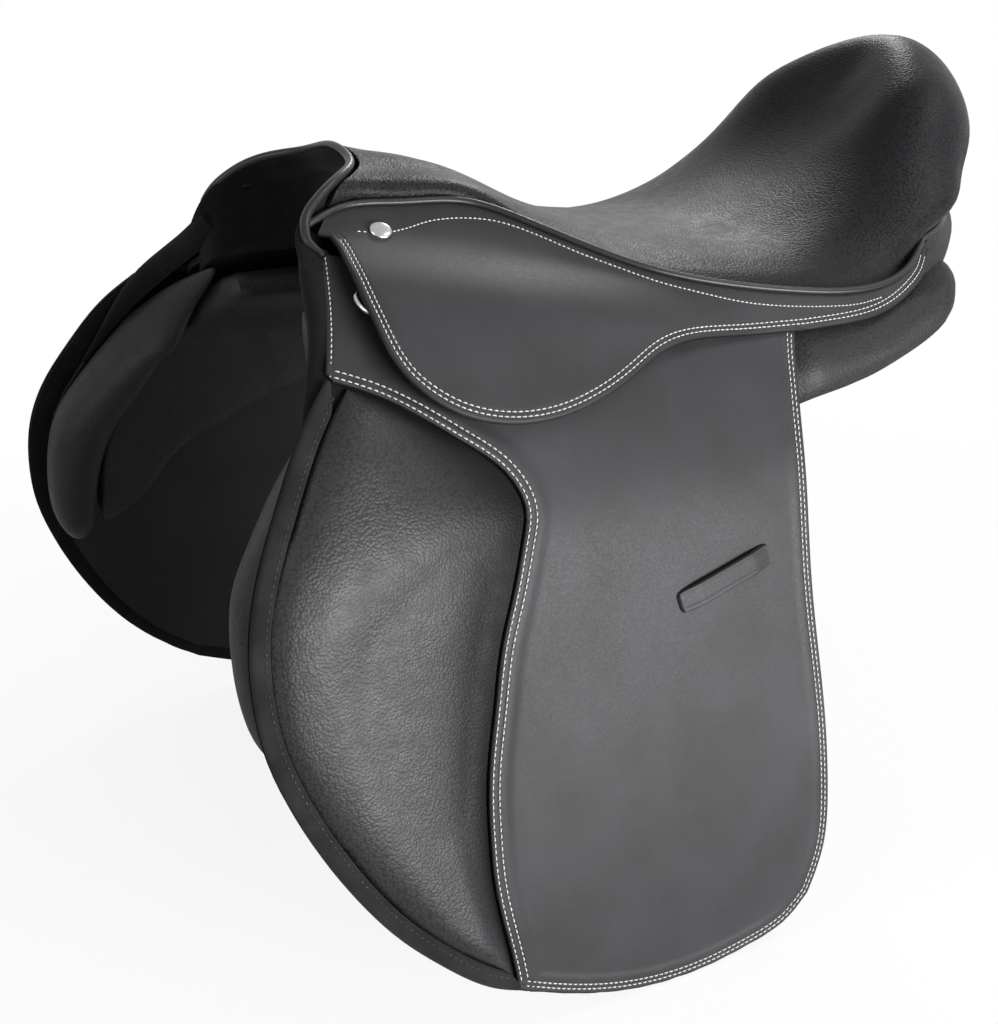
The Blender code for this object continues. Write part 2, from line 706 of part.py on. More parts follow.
def arch_grid(low, start, width, cols, foot):
    """Band under the head; low moves it down along its own normal."""
    path = smooth(mirrored([(0.0, y, z) for y, z in ARCH[:foot]]), 21)
    way = np.gradient(path, axis=0)
    way /= np.linalg.norm(way, axis=1)[:, None]
    path = path - low * np.stack([np.zeros(len(path)), -way[:, 2], way[:, 1]], 1)
    grid = []
    for _, y, z in path:
        row = []
        for share in np.linspace(0, 1, cols):
            x = arch_x(y) + start + width * share
            drop = spine_drop(-0.178, arch_x(0) + start + width * share) * max(0.0, 1 - (y / 0.065) ** 2)
            row.append(Vector((x, y, z - drop)))
        grid.append(row)
    return grid


def head():
    steel = sheet("gullet_plate", arch_grid(0.0, 0.0055, 0.030, 4, 6), PLATE_THICK, (0, 0, 1), STEEL)
    lining = sheet("arch_lining", arch_grid(PLATE_THICK + 2 * GAP, 0.0028, 0.044, 4, 6), 0.0016, (0, 0, 1), LINING)
    outer = smooth(mirrored(POMMEL), 31)
    inner = arch_grid(PLATE_THICK + 2 * GAP + 0.0016, 0.0, 0.01, 2, 6)
    inner = smooth([tuple(row[0]) for row in inner], 31)
    way = np.gradient(outer, axis=0)
    grid = []
    for p, q in zip(outer, inner):
        pull = (q - p) / np.linalg.norm(q - p)
        first = p + pull * 0.0028
        line = [first + (q - first) * t for t in (0, 0.35, 0.7, 1)]
        grid.append([Vector(w) - Vector((0.0021, 0, 0)) for w in line])
    sheet("head_facing", grid, 0.0014, (-1, 0, 0), LINING)
    for hole_in in (steel, lining):
        for side_name, side in SIDES:
            cut(hole_in, drill("hole_%s_%s" % (hole_in.name, side_name), 0.0026, -0.012, 0.012, screw_place(side)))


def screw_place(side):
    """Frame of a screw square to the arch, its z pointing into the arch."""
    band = arch_grid(PLATE_THICK + 2 * GAP + 0.0016, 0.017, 0.010, 2, 6)
    k = 6 if side < 0 else len(band) - 7
    centre = (band[k][0] + band[k][1]) / 2
    over = (band[k + 1][0] - band[k - 1][0]).normalized()
    fore = (band[k][1] - band[k][0]).normalized()
    inward = over.cross(fore).normalized()
    if inward.z > 0:
        inward = -inward
    return frame_of(centre, fore, inward)


def arch_screws():
    profile = ((0, 0.0016), (0.0014, 0.0016), (0.0016, 0.0030), (0.0030, 0.0028), (0.0045, 0.0019),
               (0.0045, 0.0008), (0.0020, 0.0008), (0.0020, -0.0060), (0, -0.0060))
    for side_name, side in SIDES:
        turned("arch_screw_" + side_name, profile, screw_place(side), STEEL, 12)


webbing()
pipings()
head()
arch_screws()


# Side leather
def skirt_rise(x, s):
    """How far the lobe has left the flap at a point."""
    u = max(0.0, (s - hinge_s(x)) * 0.93)
    up = min(1.0, u / 0.024)
    rear = min(1.0, max(0.0, (0.0 - x) / 0.07))
    return SKIRT_RISE * (up * up * (3 - 2 * up)) * (rear * rear * (3 - 2 * rear))


def skirts(side_name, side, pivot):
    top = straight((HINGE_FRONT[0], HINGE_FRONT[1] + 0.0003), (HINGE_REAR[0] - 0.0006, HINGE_REAR[1] + 0.0003), 18)
    lobe = smooth(SKIRT_LOBE, 18)
    lobe[-1, 0] -= 0.0006
    shares = np.array((0.0, 0.11, 0.20, 0.30, 0.52, 0.78, 1.0))
    left = smooth(SKIRT_FRONT, 101)[(shares * 100).astype(int)]
    left[0] = top[0]
    right = straight(top[-1], lobe[-1], 101)[(shares * 100).astype(int)]
    lobe_leaf = leaf("skirt_" + side_name, patch(top, lobe, left, right, shares), GAP + SKIRT_THICK, SKIRT_THICK,
                     side, LEATHER, skirt_rise)
    carried(lobe_leaf, pivot)

    welt = smooth(WELT, 27)
    welt[:, 1] += 0.0030
    corner = np.array([(-0.2235, 0.0000), (-0.2200, 0.0018)])
    hinge = straight((HINGE_FRONT[0], HINGE_FRONT[1] - 0.0004), (HINGE_REAR[0], HINGE_REAR[1] - 0.0004), 16)
    band = smooth(ROOT_REAR_EDGE, 9)
    lower = np.concatenate([corner, hinge, band])
    left = straight(welt[0], lower[0], 4)
    right = straight(welt[-1], lower[-1], 4)
    return leaf("skirt_root_" + side_name, patch(welt, lower, left, right), GAP + SKIRT_THICK, SKIRT_THICK,
                side, LEATHER)


def flap_edges(rows):
    upper = smooth(FLAP_FRONT_TOP, 5)
    front = np.concatenate([upper, smooth(FLAP_FRONT, rows - 4)[1:]])
    seam = np.concatenate([upper, smooth(PAD_SEAM + ((-0.2005, 0.4035),), rows - 4)[1:]])
    return front, seam, smooth(FLAP_REAR, rows)


def flap(side_name, side, pivot):
    rows = 22
    front, seam, rear = flap_edges(rows)
    top = straight(front[0], rear[0], 7)
    backing = leaf("flap_backing_" + side_name, patch(top, smooth(FLAP_BOTTOM, 7), front, rear),
                   -(FACE_THICK + LEAF_GAP), BACKING_THICK, side, LINING)
    foot = ((-0.2005, 0.4035),) + FLAP_BOTTOM[1:]
    face = leaf("flap_face_" + side_name, patch(top, smooth(foot, 7), seam, rear), 0.0, FACE_THICK, side, LEATHER)
    slot = rounded([(0.031, 0.013), (BLADE_END + 0.017, 0.013), (BLADE_END + 0.017, 0.055), (0.031, 0.055)], 0.006, 3)
    for leaf_part in (backing, face):
        carried(leaf_part, pivot)
        cut(leaf_part, plate("slot_" + leaf_part.name, slot, 0.024, hinge_flat(side, 0, 0, -0.001)))
    low = part_line(FLAP_FRONT, 0.012, 0.985, 23)
    inner = inset_line(low, -BINDING_WIDTH)
    inner[0] = (-0.2478, 0.0945)
    binding = leaf("flap_binding_" + side_name,
                   patch(straight(low[0], inner[0], 3), straight(low[-1], inner[-1], 3), low, inner),
                   0.0002, FACE_THICK + 0.0002 - 0.0001, side, LINING)
    carried(binding, pivot)
    pad(side_name, side, pivot)
    keeper(side_name, side, pivot)


def pad(side_name, side, pivot):
    rows, cols = 19, 8
    front = inset_line(part_line(FLAP_FRONT, 0.020, 0.975, rows), -(BINDING_WIDTH + 0.0005))
    seam = part_line(PAD_SEAM, 0.030, 0.990, rows)
    seam = inset_line(seam, 0.0014)
    front[0] = seam[0] + (-0.0012, 0.0012)
    upper, lower = [], []
    for i in range(rows):
        t = i / (rows - 1)
        ends = min(1.0, t / 0.16, (1 - t) / 0.10)
        ends = math.sin(ends * math.pi / 2) ** 0.7
        top_line, low_line = [], []
        for j in range(cols):
            v = j / (cols - 1)
            x, s = front[i] * (1 - v) + seam[i] * v
            crown = math.sin(math.pi * v) ** 0.55 * ends
            top_line.append(on_side(x, s, -0.0008 + PAD_CROWN * crown, side))
            low_line.append(on_side(x, s, -FACE_THICK - 0.0001, side))
        upper.append(top_line)
        lower.append(low_line)
    carried(block("knee_pad_" + side_name, upper, lower, GRAIN), pivot)


def keeper(side_name, side, pivot):
    start, end = Vector((-0.0870, 0.2280)), Vector((-0.0260, 0.2150))
    run = (end - start).normalized()
    across = Vector((-run.y, run.x)) * 0.0063
    grid = []
    for t in np.linspace(0, 1, 9):
        here = start.lerp(end, float(t))
        lift = 0.0003 + 0.0016 + 0.0024 * math.sin(math.pi * t) ** 0.4
        grid.append([on_side(*(here + across * w), lift, side) for w in (-1, 0, 1)])
    carried(sheet("leather_keeper_" + side_name, grid, 0.0016, (0, side, 0), LEATHER), pivot)


def sweat(side_name, side):
    rows = 19
    front = inset_line(part_line(FLAP_FRONT, 0.05, 0.97, rows), -0.010)
    rear = np.array([(x - 0.010, s) for x, s in part_line(FLAP_REAR, 0.02, 0.95, rows)])
    top = smooth([front[0], (-0.17, 0.1070), (-0.12, 0.1080), (-0.09, 0.0980), (-0.04, 0.0920), rear[0]], 7)
    foot = smooth([front[-1], (-0.13, 0.4120), (-0.08, 0.4150), rear[-1]], 7)
    leaf("sweat_flap_" + side_name, patch(top, foot, front, rear), SWEAT_OUTER, SWEAT_THICK, side, LINING)


BILLET_TOP = 0.1040
BILLET_X = (-0.1060, -0.0730, -0.0400)


def billets(side_name, side):
    half = BILLET_WIDTH / 2
    over = np.linspace(BILLET_X[0] - half, BILLET_X[-1] + half + 0.0015, 5)
    web = np.array([[(x, s) for x in over] for s in np.linspace(0.0985, BILLET_TOP - 0.0006, 3)])
    leaf("billet_web_" + side_name, web, BILLET_OUTER, BILLET_THICK, side, WEB)
    pivot = on_side(-0.0730, BILLET_TOP, BILLET_OUTER, side)
    for number, x in zip(("front", "middle", "rear"), BILLET_X):
        marks = list(np.linspace(BILLET_TOP, 0.366, 9)) + [0.3740, 0.3800]
        widths = [half] * 9 + [half * 0.75, half * 0.30]
        plan = [[(x - w, s), (x, s), (x + w, s)] for s, w in zip(marks, widths)]
        strap = leaf("billet_%s_%s" % (number, side_name), plan, BILLET_OUTER, BILLET_THICK, side, LEATHER)
        carried(strap, pivot)
        for k in range(6):
            s = 0.352 - 0.025 * k
            middle = on_side(x, s, BILLET_OUTER - BILLET_THICK / 2, side)
            out = on_side(x, s, 0.0, side) - middle
            place = frame_of(middle, Vector((1, 0, 0)), out)
            cut(strap, drill("punch_%s_%d" % (strap.name, k), 0.0024, -0.004, 0.004, place, 8))


def bar(side_name, side):
    """Point plate of the tree with the stirrup bar, its catch, pin and rivets."""
    outline = rounded([(0.006, 0.002), (BLADE_END + 0.005, 0.002), (BLADE_END + 0.009, 0.024),
                       (BLADE_END + 0.001, 0.041), (0.060, 0.055),
                       (0.048, 0.064), (0.016, 0.066), (0.006, 0.050)], 0.004, 2)
    point = plate("point_plate_" + side_name, outline, PLATE_THICK,
                  hinge_flat(side, 0, 0, POINT_OUTER - PLATE_THICK / 2), STEEL)
    back = BAR_SEAT + BAR_PLATE_THICK
    low = back + THROAT
    high = low + BLADE_THICK
    step = low + 0.0025
    middle = 0.0305 + BLADE_WIDTH / 2
    seat_plate = rounded([(0.034, 0.019), (BLADE_END + 0.004, 0.019), (BLADE_END + 0.004, 0.0425), (0.034, 0.050)], 0.005, 2)
    steel = plate("stirrup_bar_" + side_name, seat_plate, BAR_PLATE_THICK,
                  hinge_flat(side, 0, 0, BAR_SEAT + BAR_PLATE_THICK / 2), STEEL)
    hook = [(0.0355, -0.001), (0.0460, -0.001), (0.0460, low - back), (BLADE_END, low - back), (BLADE_END, step - back),
            (BLADE_STEP, step - back), (BLADE_STEP, high - back), (0.0385, high - back),
            (0.0355, high - back - 0.003)]
    _, run, down, out = hinge_frame(side)
    hook_frame = Matrix((run, out, run.cross(out))).transposed().to_4x4()
    hook_frame.translation = at_hinge(side, 0, middle, back)
    blade = plate("blade_" + side_name, hook, BLADE_WIDTH, hook_frame)
    blade.hide_render = True
    blade.display_type = "WIRE"
    join = steel.modifiers.new("blade", "BOOLEAN")
    join.operation = "UNION"
    join.solver = "EXACT"
    join.object = blade
    pin_frame = hinge_out(side, CATCH_PIN, middle, 0)
    cut(steel, drill("pin_hole_" + side_name, 0.0017, low - 0.002, high + 0.002, pin_frame))
    tab = [(0.0050 * math.cos(t), 0.0050 * math.sin(t)) for t in np.linspace(math.pi / 2, 3 * math.pi / 2, 9)]
    tab += [(0.0142, -0.0046), (0.0177, -0.0028), (0.0187, 0.0), (0.0177, 0.0028), (0.0142, 0.0046)]
    catch_low = step + GAP
    catch = plate("bar_catch_" + side_name, tab, high - catch_low,
                  hinge_flat(side, CATCH_PIN, middle, (high + catch_low) / 2), STEEL)
    cut(catch, drill("catch_hole_" + side_name, 0.0017, low - 0.002, high + 0.002, pin_frame))
    pin = ((0, high + 0.0010), (0.0022, high + 0.0010), (0.0026, high + GAP), (0.0014, high + GAP),
           (0.0014, low - GAP), (0.0026, low - GAP), (0.0026, low - 0.0012), (0, low - 0.0012))
    turned("catch_pin_" + side_name, pin, pin_frame, STEEL, 12)
    foot = POINT_OUTER - PLATE_THICK + 0.0002
    rivet = ((0, back + 0.0016), (0.0030, back + 0.0014), (0.0040, back + GAP), (RIVET_RADIUS, back + GAP),
             (RIVET_RADIUS, foot), (0, foot))
    for end, a in (("front", 0.0580), ("rear", 0.1040)):
        place = hinge_out(side, a, 0.0256, 0)
        turned("bar_rivet_%s_%s" % (end, side_name), rivet, place, STEEL, 12)
        for thing in (point, steel):
            cut(thing, drill("hole_%s_%s" % (thing.name, end), RIVET_RADIUS + GAP, POINT_OUTER - 0.010,
                             back + 0.003, place))


def pocket(side_name, side):
    """Leather pocket on the panel that takes the tip of the tree's point."""
    line = ((-0.007, -0.0182), (-0.001, -0.0180), (0.004, -0.0150), (0.008, -0.0131), (0.030, -0.0130),
            (0.056, -0.0131), (0.061, -0.0150), (0.066, -0.0180), (0.072, -0.0182))
    grid = [[at_hinge(side, a, u, n) for u in (0.0575, 0.0635, 0.0695)] for a, n in line]
    sheet("point_pocket_" + side_name, grid, 0.0014, (0, side, 0.5), LINING)


def nail(side_name, side):
    centre = Vector((-0.1905, 0.0020))
    out = on_side(*centre, 0.010, side) - on_side(*centre, 0.0, side)
    base = on_side(*centre, GAP + SKIRT_THICK + GAP, side)
    profile = ((0, 0.0022), (0.0026, 0.0020), (0.0048, 0.0014), (NAIL_RADIUS, 0.0006), (NAIL_RADIUS, 0.0), (0, 0.0))
    turned("head_nail_" + side_name, profile, frame_of(base, Vector((1, 0, 0)), out), BRIGHT, 18)


def ring(side_name, side):
    """Front D ring and the leather tab that holds its straight bar."""
    height = GAP + RING_WIRE + 0.0001
    turn = math.radians(-6)
    a0, u0 = 0.0190, 0.0365

    def lay(a, u, n):
        return at_hinge(side, a0 + a * math.cos(turn) - u * math.sin(turn),
                        u0 + a * math.sin(turn) + u * math.cos(turn), n)
    loop = [(-0.0085, 0.0), (0.0, 0.0), (0.0085, 0.0)]
    loop += [(0.0100 * math.cos(t), 0.0030 + 0.0125 * math.sin(t)) for t in np.linspace(0.05, math.pi - 0.05, 11)]
    pivot = lay(0, 0, height)
    thing = tube("d_ring_" + side_name, [lay(a, u, height) for a, u in loop], RING_WIRE, BRIGHT, True, 1)
    carried(thing, pivot)
    reach = RING_WIRE + GAP
    path = [(-0.0085, height - reach + 0.0012), (-0.0045, height - reach + 0.0014)]
    path += [(-(reach + 0.0012) * math.cos(t), height + (reach + 0.0012) * math.sin(t)) for t in
             np.linspace(0.15, math.pi - 0.15, 7)]
    grid = [[lay(a, u, n) for a in (-0.0055, 0.0, 0.0055)] for u, n in path]
    tab = sheet("ring_tab_" + side_name, grid, 0.0011, (0, side, 0.5), LEATHER)
    return tab


for side_name, side in SIDES:
    start = hinge_frame(side)[0]
    skirts(side_name, side, start)
    flap(side_name, side, start)
    sweat(side_name, side)
    billets(side_name, side)
    bar(side_name, side)
    pocket(side_name, side)
    nail(side_name, side)
    carried(ring(side_name, side), start)


# Panels
def ease(x, low, high):
    t = min(1.0, max(0.0, (x - low) / (high - low)))
    return t * t * (3 - 2 * t)


UNDER_X = (-0.24, -0.20, -0.15, -0.10, -0.05, 0.00, 0.05, 0.10, 0.15)
UNDER_FLAT = (1.00, 0.95, 0.80, 0.52, 0.34, 0.25, 0.25, 0.30, 0.34)
UNDER_BREAK = 0.0640         # height above which the panel's top flattens toward the back


def panel_offset(x, s):
    """How far inside the side face the panel's outer face lies."""
    arch = 0.0285 - 0.0075 * ease(s, 0.030, 0.055)
    point = arch - 0.0080 * ease(s, 0.075, 0.110)
    middle = 0.0205 - 0.0075 * ease(s, 0.060, 0.085)
    front = point + (middle - point) * ease(x, -0.165, -0.110)
    return front + (0.0032 - front) * ease(x, 0.012, 0.034) + 0.0010 * ease(x, 0.08, 0.11)


def panel_point(x, s, depth, side):
    """A point under the panel's upper face; depth runs toward the horse."""
    outer = on_side(x, s, -max(panel_offset(x, s), -PANEL_OUTER if s > 0.11 and x < 0.01 else 0.0), side)
    inner = on_side(x, s, -0.05, side) - on_side(x, s, 0.0, side)
    inner.normalize()
    flat = float(np.interp(x, UNDER_X, UNDER_FLAT))
    if outer.z > UNDER_BREAK:
        outer.z = UNDER_BREAK + (outer.z - UNDER_BREAK) * flat
    outer.z += 0.014 * ease(x, 0.064, 0.155)
    turn = ease(x, -0.16, -0.03)
    way = inner.lerp(Vector((0, 0, -1)), turn).normalized()
    return outer + way * depth


RAIL_SEAM = ((-0.2815, 0.2590), (-0.2815, 0.2380), (-0.2775, 0.2070), (-0.2665, 0.1720), (-0.2515, 0.1380),
             (-0.2385, 0.1000), (-0.2305, 0.0560), (-0.2260, 0.0160))
RAIL_GULLET = ((-0.2200, 0.0080), (-0.1900, 0.0020), (-0.1500, -0.0120), (-0.1000, -0.0260), (-0.0400, -0.0340),
               (0.0300, -0.0360), (0.1050, -0.0330), (0.1630, -0.0250))
RAIL_LOW_FRONT = ((-0.2660, 0.2660), (-0.2450, 0.2400), (-0.2300, 0.2190), (-0.2050, 0.2020), (-0.1650, 0.1800))
RAIL_LOW = ((-0.1650, 0.1800), (-0.1200, 0.1580), (-0.0700, 0.1380), (-0.0200, 0.1220), (0.0350, 0.1130),
            (0.0850, 0.1080), (0.1350, 0.0950), (0.1650, 0.0700))


def cushion(name, upper, lower, depths, side, look, square, count=16):
    """A stuffed cushion between two rails of x and s, closed off round at both ends."""
    rings = []
    total = len(upper)
    for i, (p, q, deep) in enumerate(zip(upper, lower, depths)):
        ends = min((i + 0.35) / 2.2, (total - 1 - i + 0.35) / 2.2, 1.0)
        shrink = math.sqrt(1 - (1 - ends) ** 2)
        middle = (p + q) / 2
        ring = []
        for j in range(count):
            t = 2 * math.pi * j / count
            over = math.copysign(abs(math.cos(t)) ** square, math.cos(t)) * shrink
            down = math.copysign(abs(math.sin(t)) ** square, math.sin(t)) * shrink
            x, s = middle + (q - p) / 2 * over
            ring.append(panel_point(float(x), float(s), deep * (1 - down) / 2, side))
        rings.append(ring)
    return loft(name, rings, look)


def panel(side_name, side):
    upper = np.concatenate([smooth(RAIL_SEAM, 9), smooth(RAIL_GULLET, 15)])
    lower = np.concatenate([smooth(RAIL_LOW_FRONT, 9)[:-1], smooth(RAIL_LOW, 16)])
    depths = np.interp([p[0] if i > 8 else -0.24 - 0.001 * (9 - i) for i, p in enumerate(upper)],
                       (-0.249, -0.243, -0.22, -0.10, 0.03, 0.10, 0.152),
                       (0.020, 0.030, PANEL_DEPTH - 0.004, PANEL_DEPTH, 0.035, 0.030, 0.026))
    cushion("panel_" + side_name, upper, lower, depths, side, GRAIN, 0.55)
    front = smooth(ROLL_FRONT, 15)
    seam = smooth(ROLL_SEAM, 15)
    swell = [ROLL_DEPTH * (0.45 + 0.55 * math.sin(math.pi * t) ** 0.7) for t in np.linspace(0.05, 0.90, 15)]
    cushion("knee_roll_" + side_name, front, seam, swell, side, GRAIN, 0.8, 12)


def rear_facing():
    """Leather strip between the seat and the panels round the cantle."""
    first = on_side(WELT[-1][0] + 0.0030, WELT[-1][1] + 0.0042, 0.0020, 1)
    line = [tuple(first)] + [tuple(Vector(p) + Vector((0.0006, 0.0, -0.0066))) for p in WELT_REAR]
    half = smooth([(x, y, z) for x, y, z in line][::-1], 12)
    half[0, 1] = 0.0
    top = mirrored(half)
    grid = []
    for x, y, z in top:
        grid.append([(x, y, z), (x - 0.0005, y * 0.995, z - 0.0045), (x - 0.001, y * 0.99, z - 0.0085)])
    sheet("rear_facing", grid, 0.0015, (1, 0, 0), LINING)


for side_name, side in SIDES:
    panel(side_name, side)
rear_facing()
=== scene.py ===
import bpy
import bmesh
import math
import numpy as np
from mathutils import Matrix, Vector


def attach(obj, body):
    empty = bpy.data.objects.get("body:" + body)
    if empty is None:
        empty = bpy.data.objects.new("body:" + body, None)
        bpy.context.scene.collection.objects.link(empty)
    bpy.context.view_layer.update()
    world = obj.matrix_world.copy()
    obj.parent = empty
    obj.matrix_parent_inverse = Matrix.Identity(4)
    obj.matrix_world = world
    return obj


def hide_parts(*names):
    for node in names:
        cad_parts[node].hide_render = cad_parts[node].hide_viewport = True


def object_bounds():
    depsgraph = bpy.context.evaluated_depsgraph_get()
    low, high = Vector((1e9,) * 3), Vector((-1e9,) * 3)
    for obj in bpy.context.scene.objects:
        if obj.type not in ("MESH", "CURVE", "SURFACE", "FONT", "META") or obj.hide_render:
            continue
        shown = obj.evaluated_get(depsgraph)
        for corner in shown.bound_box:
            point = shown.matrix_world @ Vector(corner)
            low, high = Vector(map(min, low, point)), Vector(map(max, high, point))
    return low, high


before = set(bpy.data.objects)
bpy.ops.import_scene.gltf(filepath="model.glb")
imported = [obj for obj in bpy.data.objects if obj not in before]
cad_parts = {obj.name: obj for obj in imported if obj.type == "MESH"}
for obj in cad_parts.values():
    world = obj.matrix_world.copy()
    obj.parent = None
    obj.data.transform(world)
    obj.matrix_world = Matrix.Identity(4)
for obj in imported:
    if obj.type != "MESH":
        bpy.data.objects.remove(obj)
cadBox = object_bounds()
sides = (("left", -1), ("right", 1))
print("saddle: frame loaded,", len(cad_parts), "nodes")


def mm(*rows):
    # lengths in millimetres, alone or in rows, turned into metres
    return tuple(mm(*row) if isinstance(row, tuple) else row / 1000 for row in rows)


# Sizes in metres, the same as in the solids; the tables of points are in millimetres
gap = 0.0003
faceThick = 0.002           # outer leaf of the flap
backingThick = 0.002
skirtThick = 0.0035
skirtRiseSize = 0.0068       # how far the lobe stands off the flap
coverThick = 0.0016
seatFoam = 0.012
leafGap = 0.001
layerGap = 0.0011
flapInner = -(faceThick + leafGap + backingThick)
sweatThick = 0.0032          # inner leaf between the straps and the panel
strapThick = 0.0027
panelOuter = flapInner - 3 * layerGap - sweatThick - strapThick

# y and z of the side face from the middle of the saddle down to the flap's foot
sideProfile = mm(
    (10, 155.5), (50, 131.5), (69, 120), (100, 100.5), (125, 84.5), (142, 70.5), (157, 52),
    (170, 28), (183, -2), (196, -57), (205, -102), (217, -165), (228, -250), (231, -290))
hingeFront = mm(-215.5, 4)
hingeRear = mm(22, 96.5)
hingeOut = 0.0075
splitRear = mm(22, 100.2)  # where the lobe's fold runs out at the skirt's lower edge

# lines on the side face, as x and s (the way down the face from the skirt's top)
weltLine = mm(
    (-215, -13.5), (-204, -18), (-171, -18), (-132, -13), (-110, 3), (-89, 22), (-54, 50),
    (-18, 66), (30, 78), (85, 81), (112, 72), (138, 52))
weltRear = mm((160, 105, 104), (186, 84, 107.5), (219, 48, 112), (232, 0, 114))
flapFrontTop = mm((-225, 9.2), (-235, 41), (-253, 88))
flapFront = mm(
    (-253, 88), (-271, 110), (-290, 141), (-306, 172), (-314.5, 201), (-316, 226), (-313, 253),
    (-306, 276), (-286, 318), (-258, 358), (-239, 377), (-206, 401))
flapBottom = mm(
    (-206, 401), (-174, 414), (-124, 428), (-85, 430), (-54, 426.5), (-29, 419.5), (-14, 408))
flapRear = mm(
    (18, 98), (16, 102), (8, 130), (3, 160), (0, 190), (-1, 225), (0, 258), (2.5, 310), (2, 350),
    (-3, 385), (-14, 408))
padSeam = mm(
    (-253, 88), (-230, 100.5), (-212.5, 113.5), (-193.5, 129), (-178.5, 142.5), (-171.2, 154.5),
    (-169, 165.5), (-172.8, 179), (-181, 202), (-190.5, 227.5), (-197.2, 254.5), (-205.3, 291.5),
    (-207.6, 322), (-207.5, 343), (-204.6, 365.5), (-199.5, 395), (-198.5, 403.5))
skirtCorner = mm((-223.8, 0.2), (-221.5, 1.2), (-218.7, 2.8))
skirtFront = mm((-218.7, 2.8), (-218.6, 12), (-220, 25), (-221.4, 40), (-222.6, 55), (-223.2, 70))
skirtLobe = mm(
    (-223.2, 70), (-222.6, 85), (-218, 98.5), (-209, 109.2), (-198.5, 116.8), (-181.5, 123.6),
    (-162.2, 126.6), (-142.5, 125.8), (-120.8, 121), (-96.5, 111.8), (-76.5, 103), (-57.5, 99.2),
    (-23.3, 98.4), (22, 100.2))
skirtRear = mm((22, 100.2), (42.9, 100.2), (80, 96.8), (105.5, 87.2), (125.5, 74.5), (138, 62))
skirtTopRow = mm(
    (-186.8, 3.5), (-174, 0.8), (-162.8, -2.2), (-142.2, -2.7), (-124.2, 1.9), (-108.4, 12.7),
    (-89.8, 30.1), (-70.3, 47), (-54.3, 60), (-39.2, 67.8), (-13.5, 78.4), (15, 85.4), (46.6, 89.5),
    (63.8, 90.3), (82.7, 88.2))
rollFront = mm(
    (-233, 16), (-243, 56), (-261, 105), (-290, 149), (-305.5, 180), (-311, 212), (-310, 242),
    (-302, 272))
rollSeam = mm(
    (-227, 16), (-232, 56), (-240, 100), (-253, 138), (-268, 172), (-279, 207), (-283, 238),
    (-281.5, 266))
railSeam = mm(
    (-281.5, 259), (-281.5, 238), (-277.5, 207), (-266.5, 172), (-251.5, 138), (-238.5, 100),
    (-230.5, 56), (-226, 16))
railGullet = mm(
    (-220, 8), (-190, 2), (-150, -12), (-100, -26), (-40, -34), (30, -36), (108, -33), (170, -25))
railLowFront = mm((-266, 266), (-245, 240), (-230, 219), (-205, 202), (-165, 180))
railLow = mm(
    (-165, 180), (-120, 158), (-70, 138), (-20, 122), (35, 113), (88, 108), (140, 95), (172, 70))

# lines across the seat from spine to rim, x y z each
seatLines = mm(
    ((-162, 0, 153), (-164, 18, 151.5), (-168, 36, 147), (-176, 52, 141)),
    ((-125, 0, 144.5), (-126, 20, 144), (-129, 38, 141), (-133, 54, 137)),
    ((-85, 0, 126.5), (-87, 22, 126), (-91, 43, 124.5), (-96, 61, 121.5)),
    ((-45, 0, 112.5), (-47, 27, 111.8), (-51, 54, 110), (-57, 78, 105.5)),
    ((-5, 0, 108), (-7, 30, 106.2), (-11, 62, 102.2), (-16, 95, 97)),
    ((33, 0, 107.5), (32, 35, 105), (28, 72, 98.5), (22, 108, 91.5)),
    ((66, 0, 112), (66, 38, 110.5), (65, 78, 103.5), (62, 114, 91)),
    ((96, 0, 120.5), (97, 38, 121.5), (98, 76, 116.5), (99, 108, 102.5)),
    ((121, 0, 132.5), (124, 36, 136.5), (129, 70, 138.5), (134, 98, 127), (143.5, 116.5, 108.5)),
    ((146, 0, 150), (152, 30, 159), (161, 60, 174), (173, 80, 168.5), (194.5, 88.5, 140)),
    ((158, 0, 161), (170, 19, 176.5), (187, 37, 194), (209, 52, 185.5), (225.5, 57, 152)),
    ((164, 0, 167), (182, 0, 186), (202, 0, 203), (228, 0, 197), (244, 0, 160)))
seatWeltX = mm(-213.5, -180, -136, -104, -66, -22, 18, 65, 105, 137)
headRim = mm(
    (-180, 0, 156.5), (-184, 31, 151), (-196, 46, 147.5), (-207.5, 54.5, 143), (-217, 59.5, 137),
    (-223, 63, 131.5), (-226.5, 69, 124.5), (-227.5, 80, 114))
archLine = mm((0, 133), (18, 131.1), (33, 124), (48, 111), (76, 92.5), (90, 83.5))


# Curves
def runLength(points):
    steps = np.linalg.norm(np.diff(np.asarray(points, float), axis=0), axis=1)
    return np.concatenate(([0.0], np.cumsum(steps)))


def cubic(points, values):
    points = np.asarray(points, float)
    values = np.asarray(values, float)
    count = len(values)
    step = np.diff(values)
    matrix = np.eye(count)
    right = np.zeros_like(points)
    for i in range(1, count - 1):
        matrix[i, i - 1] = step[i - 1]
        matrix[i, i] = 2 * (step[i - 1] + step[i])
        matrix[i, i + 1] = step[i]
        right[i] = 6 * ((points[i + 1] - points[i]) / step[i] - (points[i] - points[i - 1]) / step[i - 1])
    bend = np.linalg.solve(matrix, right)

    def at(where):
        where = np.atleast_1d(where)
        i = np.clip(np.searchsorted(values, where) - 1, 0, count - 2)
        h = step[i][:, None]
        a = (values[i + 1] - where)[:, None]
        b = (where - values[i])[:, None]
        return ((bend[i] * a ** 3 + bend[i + 1] * b ** 3) / (6 * h)
                + (points[i] / h - bend[i] * h / 6) * a
                + (points[i + 1] / h - bend[i + 1] * h / 6) * b)
    return at


def onRun(dense, shares):
    # points at shares of a dense line's length
    dense = np.asarray(dense, float)
    length = runLength(dense)
    want = np.asarray(shares) * length[-1]
    return np.stack([np.interp(want, length, dense[:, k]) for k in range(dense.shape[1])], 1)


